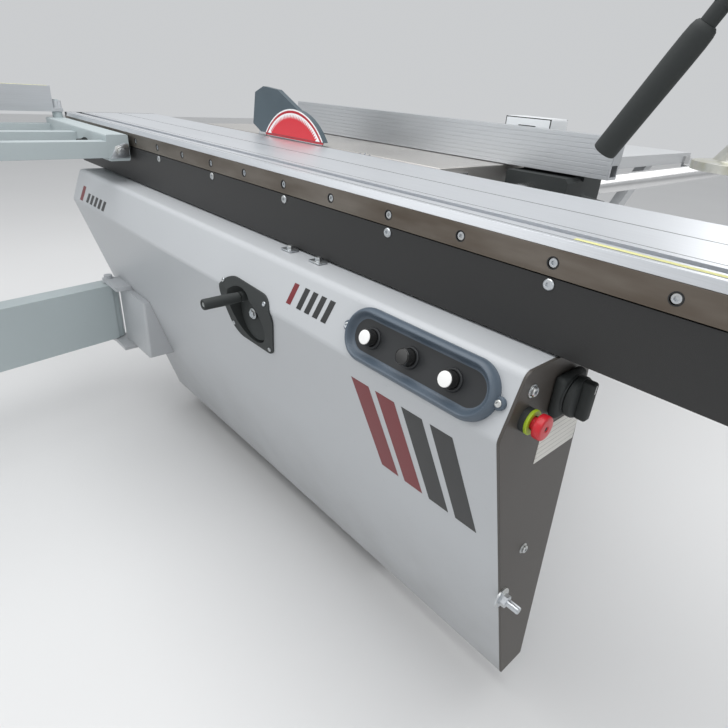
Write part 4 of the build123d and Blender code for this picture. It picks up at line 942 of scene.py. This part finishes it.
class PANELSAW_OT_outrigger_details(bpy.types.Operator):
    """Adds the plated corner plate, its bolt and the stop scale to the outrigger"""
    bl_idname = "panel_saw.outrigger_details"
    bl_label = "Outrigger details"

    def execute(self, context):
        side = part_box("outrigger_bracket")[1].x
        plate = Shape()
        plate.prism([(-0.277, 0.820), (-0.262, 0.849), (-0.236, 0.857), (-0.2295, 0.8520), (-0.2295, 0.822)],
                    (side - 0.0004, 0, 0), (0, 1, 0), UPWARD, (0.0024, 0, 0), 0.0006)
        bolt = (side, -0.250, 0.838)
        plate.lathe([(0.0105, 0.002), (0.0105, 0.0034), (0.0098, 0.0040)], bolt, ALONG, 40)
        plate.lathe([(0.0078, 0.0036), (0.0078, 0.0088), (0.0070, 0.0098), (0.004, 0.0100)], bolt, ALONG, 6)
        plate.piece("bracket_corner_plate", [named("zinc_bright")], "table", "zinc")
        low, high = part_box("crosscut_fence")
        tape_x = low.x + 0.0215
        tape = Shape()
        tape.block((tape_x - 0.0070, low.y + 0.005, 0.9628), (tape_x + 0.0070, -0.268, 0.9634), 0.0001)
        tape.piece("fence_tape", [named("inlay_yellow")], "crosscut", "aluminium")
        rows = []
        for name, half_long, half_wide, count, offset, pitch in (
            ("tick", 0.0030, 0.0004, 112, 0.0038, 0.010), ("mark", 0.0060, 0.0006, 12, 0.0008, 0.100),
        ):
            mark = Shape()
            mark.block((-half_long, -half_wide, 0.0), (half_long, half_wide, 0.0002), 0.0)
            rows.append(row_of_parts(mark.mesh_data(name, [named("film_dark")]), count,
                                     (tape_x + offset, -0.275, 0.9633), (0, -pitch, 0), named("film_dark")))
        show(merged("fence_tape_marks", *rows), "fence_tape_marks", "crosscut", "aluminium")
        return {"FINISHED"}


class PANELSAW_OT_table_inlay(bpy.types.Operator):
    """Lays the pale strip in the sliding table"""
    bl_idname = "panel_saw.table_inlay"
    bl_label = "Table inlay"

    def execute(self, context):
        strip = Shape()
        strip.block((0.335, -0.2065, TABLE_TOP - 0.0001), (1.385, -0.1990, TABLE_TOP + 0.0003), 0.0001)
        strip.piece("table_pale_strip", [named("inlay_yellow")], "table", "aluminium")
        low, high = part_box("sliding_table")
        # Thin dark grey film lines along the table's seam and the T-slot's lips: painted shade in these
        # narrow gaps.
        seam_shade = Shape()
        for y, width in ((-0.0570, 0.0018), (-0.1585, 0.0010), (-0.2085, 0.0010)):
            seam_shade.block((low.x + 0.002, y - width / 2, TABLE_TOP - 0.0001),
                        (high.x - 0.002, y + width / 2, TABLE_TOP + 0.0002), 0.0)
        seam_shade.piece("table_seams", [named("painted_seam_shade")], "table", "aluminium")
        return {"FINISHED"}


class PANELSAW_OT_fence_casing(bpy.types.Operator):
    """Fits the pale casing and dark window on the rip fence's clamp"""
    bl_idname = "panel_saw.fence_casing"
    bl_label = "Fence casing"

    def execute(self, context):
        casing = Shape()
        casing.block((-0.143, 0.3268, 0.9062), (-0.0310, 0.3940, 0.9860), 0.004, 0, 4)
        casing.block((-0.108, 0.3262, 0.925), (-0.066, 0.3275, 0.970), 0.0004, 1)
        casing.piece("fence_clamp_casing", [named("casing_coat"), named("black_plastic")], "fence_carriage",
                     "black_plastic")
        low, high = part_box("fence_profile")
        plate = Shape()
        plate.block((high.x - 0.0002, low.y + 0.0004, 0.9212),
                    (high.x + 0.0014, high.y - 0.0004, high.z - 0.0006), 0.0004)
        plate.piece("fence_end_plate", [named("anodised_fence")], "fence", "aluminium")
        return {"FINISHED"}


class PANELSAW_OT_hold_down(bpy.types.Operator):
    """Turns the hold-down's lever and grip"""
    bl_idname = "panel_saw.hold_down"
    bl_label = "Hold-down lever"

    def execute(self, context):
        lever = Shape()
        back = Vector((0, 0.006, 0))
        neck = LEVER_PIVOT + Vector((-0.022, 0, -0.040))
        top = LEVER_PIVOT + Vector((-0.014, 0, -0.026))
        tip = LEVER_PIVOT + Vector((-0.073, 0, -0.130))
        lever.bar(LEVER_PIVOT - back, LEVER_PIVOT + Vector((0, 0.058, 0)), 0.0069, 0.001)
        lever.lathe([(0.0150, 0), (0.0168, 0.0012), (0.0170, 0.0030), (0.0170, 0.0115), (0.0160, 0.0138),
                     (0.0100, 0.0140)], LEVER_PIVOT - back, (0, 1, 0), 48)
        lever.bar(LEVER_PIVOT, neck, 0.0070, 0.001)
        run = tip - top
        lever.lathe([(0.0080, 0), (0.0098, 0.0020), (0.0108, 0.0060), (0.0113, 0.0140), (0.0115, 0.0300),
                     (0.0115, run.length - 0.0030), (0.0112, run.length - 0.0012),
                     (0.0104, run.length - 0.0003), (0.0094, run.length)], top, run, 56)
        lever.piece("hold_down_lever", [named("black_plastic")], "clamp_lever_body", "black_plastic",
                    "clamp_lever")
        return {"FINISHED"}


class PANELSAW_OT_handwheel(bpy.types.Operator):
    """Turns the tilt handwheel's rim, hub, spokes and knob"""
    bl_idname = "panel_saw.handwheel"
    bl_label = "Handwheel"

    def execute(self, context):
        low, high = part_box("tilt_handwheel")
        centre = Vector((WHEEL_X, (low.y + high.y) / 2, WHEEL_Z))
        rim_radius, rim_thick = 0.0865, 0.0088
        wheel = Shape()
        angles = [2 * pi * n / 14 for n in range(14)]
        rim = [(rim_radius + rim_thick * cos(angle), rim_thick * sin(angle)) for angle in angles]
        wheel.lathe(rim, centre, ALONG, 72, 0, ring=True)
        wheel.lathe([(0.0180, -0.0145), (0.0235, -0.0130), (0.0240, -0.0100), (0.0240, 0.0070),
                     (0.0220, 0.0115), (0.0150, 0.0140), (0.0090, 0.0145)], centre, ALONG, 56)
        for angle in (90, 210, 330):
            out = Vector((0, cos(radians(angle)), sin(radians(angle))))
            wheel.lathe([(0.0090, 0.018), (0.0078, 0.030), (0.0066, 0.050), (0.0066, 0.066),
                         (0.0078, 0.0815)], centre, out, 20)
        knob = centre + Vector((0, 0, rim_radius))
        wheel.lathe([(0.0060, 0.004), (0.0060, 0.0120), (0.0078, 0.0140), (0.0086, 0.0220), (0.0090, 0.0450),
                     (0.0088, 0.0600), (0.0076, 0.0680), (0.0050, 0.0705)], knob, ALONG, 32)
        wheel.bar(centre - Vector((0.086, 0, 0)), centre, 0.0098, 0.0010, 32, 1)
        wheel.piece("tilt_wheel", [named("black_plastic"), named("bright_bar")], "handwheel", "black_plastic",
                    "tilt_handwheel")
        return {"FINISHED"}


class PANELSAW_OT_feet(bpy.types.Operator):
    """Turns the four levelling feet with their nuts"""
    bl_idname = "panel_saw.feet"
    bl_label = "Levelling feet"

    def execute(self, context):
        feet = Shape()
        for foot in [(x, y, 0) for x in FEET_XS for y in FEET_YS]:
            for profile, segments, finish in (
                ([(0.0310, 0.0), (0.0320, 0.0010), (0.0320, 0.0060), (0.0300, 0.0085)], 48, 1),
                ([(0.0290, 0.0080), (0.0285, 0.0105), (0.0180, 0.0135), (0.0110, 0.0145)], 48, 0),
                ([(0.0130, 0.0290), (0.0138, 0.0300), (0.0138, 0.0388), (0.0130, 0.0398)], 6, 0),
            ):
                feet.lathe(profile, foot, UPWARD, segments, finish)
            thread = []
            for number in range(12):
                thread += [(0.0084, 0.0140 + number * 0.0020), (0.0090, 0.0150 + number * 0.0020)]
            feet.lathe(thread, foot, UPWARD, 24)
        feet.piece("levelling_feet_detail", [named("zinc_bright"), named("foot_rubber")], "base", "zinc",
                   "levelling_feet")
        return {"FINISHED"}


class PANELSAW_OT_stage(bpy.types.Operator):
    """Lays the pale floor and sets the studio light and the camera"""
    bl_idname = "panel_saw.stage"
    bl_label = "Stage"

    def light(self, name, place, target, width, height, power, tint=(1.0, 1.0, 1.0)):
        lamp = bpy.data.lights.new(name, "AREA")
        lamp.shape = "RECTANGLE"
        lamp.size, lamp.size_y = width, height
        lamp.energy = power
        lamp.color = tint
        made = bpy.data.objects.new(name, lamp)
        made.location = place
        made.rotation_euler = (Vector(target) - Vector(place)).to_track_quat("-Z", "Y").to_euler()
        bpy.context.scene.collection.objects.link(made)

    def execute(self, context):
        scene = context.scene
        floor = Shape()
        floor.block((-FLOOR_REACH, -FLOOR_REACH, -0.02), (FLOOR_REACH, FLOOR_REACH, 0.0), 0.0)
        finish = Finish("pale_floor")
        cloud = finish.noise(0.8, 2.0)
        tone = finish.blend(cloud, paint(214, 214, 214), paint(222, 222, 222))
        data = floor.mesh_data("floor", [finish.surface(tone, cloud * 0.1 + 0.6, rounding=0.0001)])
        ground = bpy.data.objects.new("floor", data)
        scene.collection.objects.link(ground)
        self.light("overhead_softbox", (-0.3, -0.6, 3.6), (-0.2, -0.1, 0.6), 4.0, 3.6, 104)
        self.light("window_left", (-2.6, -3.4, 2.2), (-0.3, -0.2, 0.6), 2.6, 2.0, 24)
        self.light("operator_side", (3.4, -1.0, 2.0), (0.0, -0.1, 0.7), 2.4, 2.0, 14)
        self.light("far_side", (0.6, 3.8, 2.4), (-0.4, 0.4, 0.8), 3.0, 2.0, 30)
        world = bpy.data.worlds.new("studio")
        world.use_nodes = True
        background = world.node_tree.nodes["Background"]
        background.inputs["Color"].default_value = (0.96, 0.98, 1.0, 1.0)
        background.inputs["Strength"].default_value = 0.62
        scene.world = world
        scene.view_settings.view_transform = "Standard"
        scene.view_settings.look = "None"
        yaw, pitch, roll = (radians(angle) for angle in CAMERA_TURN)
        forward = Vector((-sin(yaw) * cos(pitch), cos(yaw) * cos(pitch), -sin(pitch)))
        right = Vector((cos(yaw), sin(yaw), 0))
        down = forward.cross(right)
        across = right * cos(roll) + down * sin(roll)
        upward = right * sin(roll) - down * cos(roll)
        lens = bpy.data.cameras.new("camera")
        lens.sensor_width = 36.0
        lens.lens = CAMERA_LENS
        lens.clip_start, lens.clip_end = 0.02, 60.0
        camera = bpy.data.objects.new("camera", lens)
        turn = Matrix((across, upward, -forward)).transposed().to_4x4()
        camera.matrix_world = Matrix.Translation(CAMERA_PLACE) @ turn
        scene.collection.objects.link(camera)
        scene.camera = camera
        return {"FINISHED"}


OPERATORS = (
    PANELSAW_OT_stage, PANELSAW_OT_finishes, PANELSAW_OT_cover_marks, PANELSAW_OT_guard_print,
    PANELSAW_OT_control_panel, PANELSAW_OT_screw_rows, PANELSAW_OT_switches, PANELSAW_OT_crank,
    PANELSAW_OT_outrigger_details, PANELSAW_OT_table_inlay, PANELSAW_OT_fence_casing, PANELSAW_OT_hold_down,
    PANELSAW_OT_handwheel, PANELSAW_OT_feet,
)


class PANELSAW_PT_sidebar(bpy.types.Panel):
    """Lists the steps that make the panel saw's looks"""
    bl_idname = "PANELSAW_PT_sidebar"
    bl_label = "Panel saw"
    bl_space_type = "VIEW_3D"
    bl_region_type = "UI"
    bl_category = "Panel saw"

    def draw(self, context):
        for operator in OPERATORS:
            self.layout.operator(operator.bl_idname)
        for group in (context.scene.panel_saw_sizes, context.scene.panel_saw_colours):
            for key in group.__annotations__:
                self.layout.prop(group, key)


CLASSES = (PanelSawSizes, PanelSawColours, PANELSAW_PT_sidebar) + OPERATORS


def register():
    for item in CLASSES:
        bpy.utils.register_class(item)
    bpy.types.Scene.panel_saw_sizes = bpy.props.PointerProperty(type=PanelSawSizes)
    bpy.types.Scene.panel_saw_colours = bpy.props.PointerProperty(type=PanelSawColours)


def unregister():
    del bpy.types.Scene.panel_saw_colours
    del bpy.types.Scene.panel_saw_sizes
    for item in reversed(CLASSES):
        bpy.utils.unregister_class(item)


def main():
    register()
    bpy.ops.panel_saw.stage()
    bpy.ops.panel_saw.finishes()
    bpy.ops.panel_saw.cover_marks()
    bpy.ops.panel_saw.guard_print()
    bpy.ops.panel_saw.control_panel()
    bpy.ops.panel_saw.screw_rows()
    bpy.ops.panel_saw.switches()
    bpy.ops.panel_saw.crank()
    bpy.ops.panel_saw.outrigger_details()
    bpy.ops.panel_saw.table_inlay()
    bpy.ops.panel_saw.fence_casing()
    bpy.ops.panel_saw.hold_down()
    bpy.ops.panel_saw.handwheel()
    bpy.ops.panel_saw.feet()


if __name__ == "__main__":
    main()
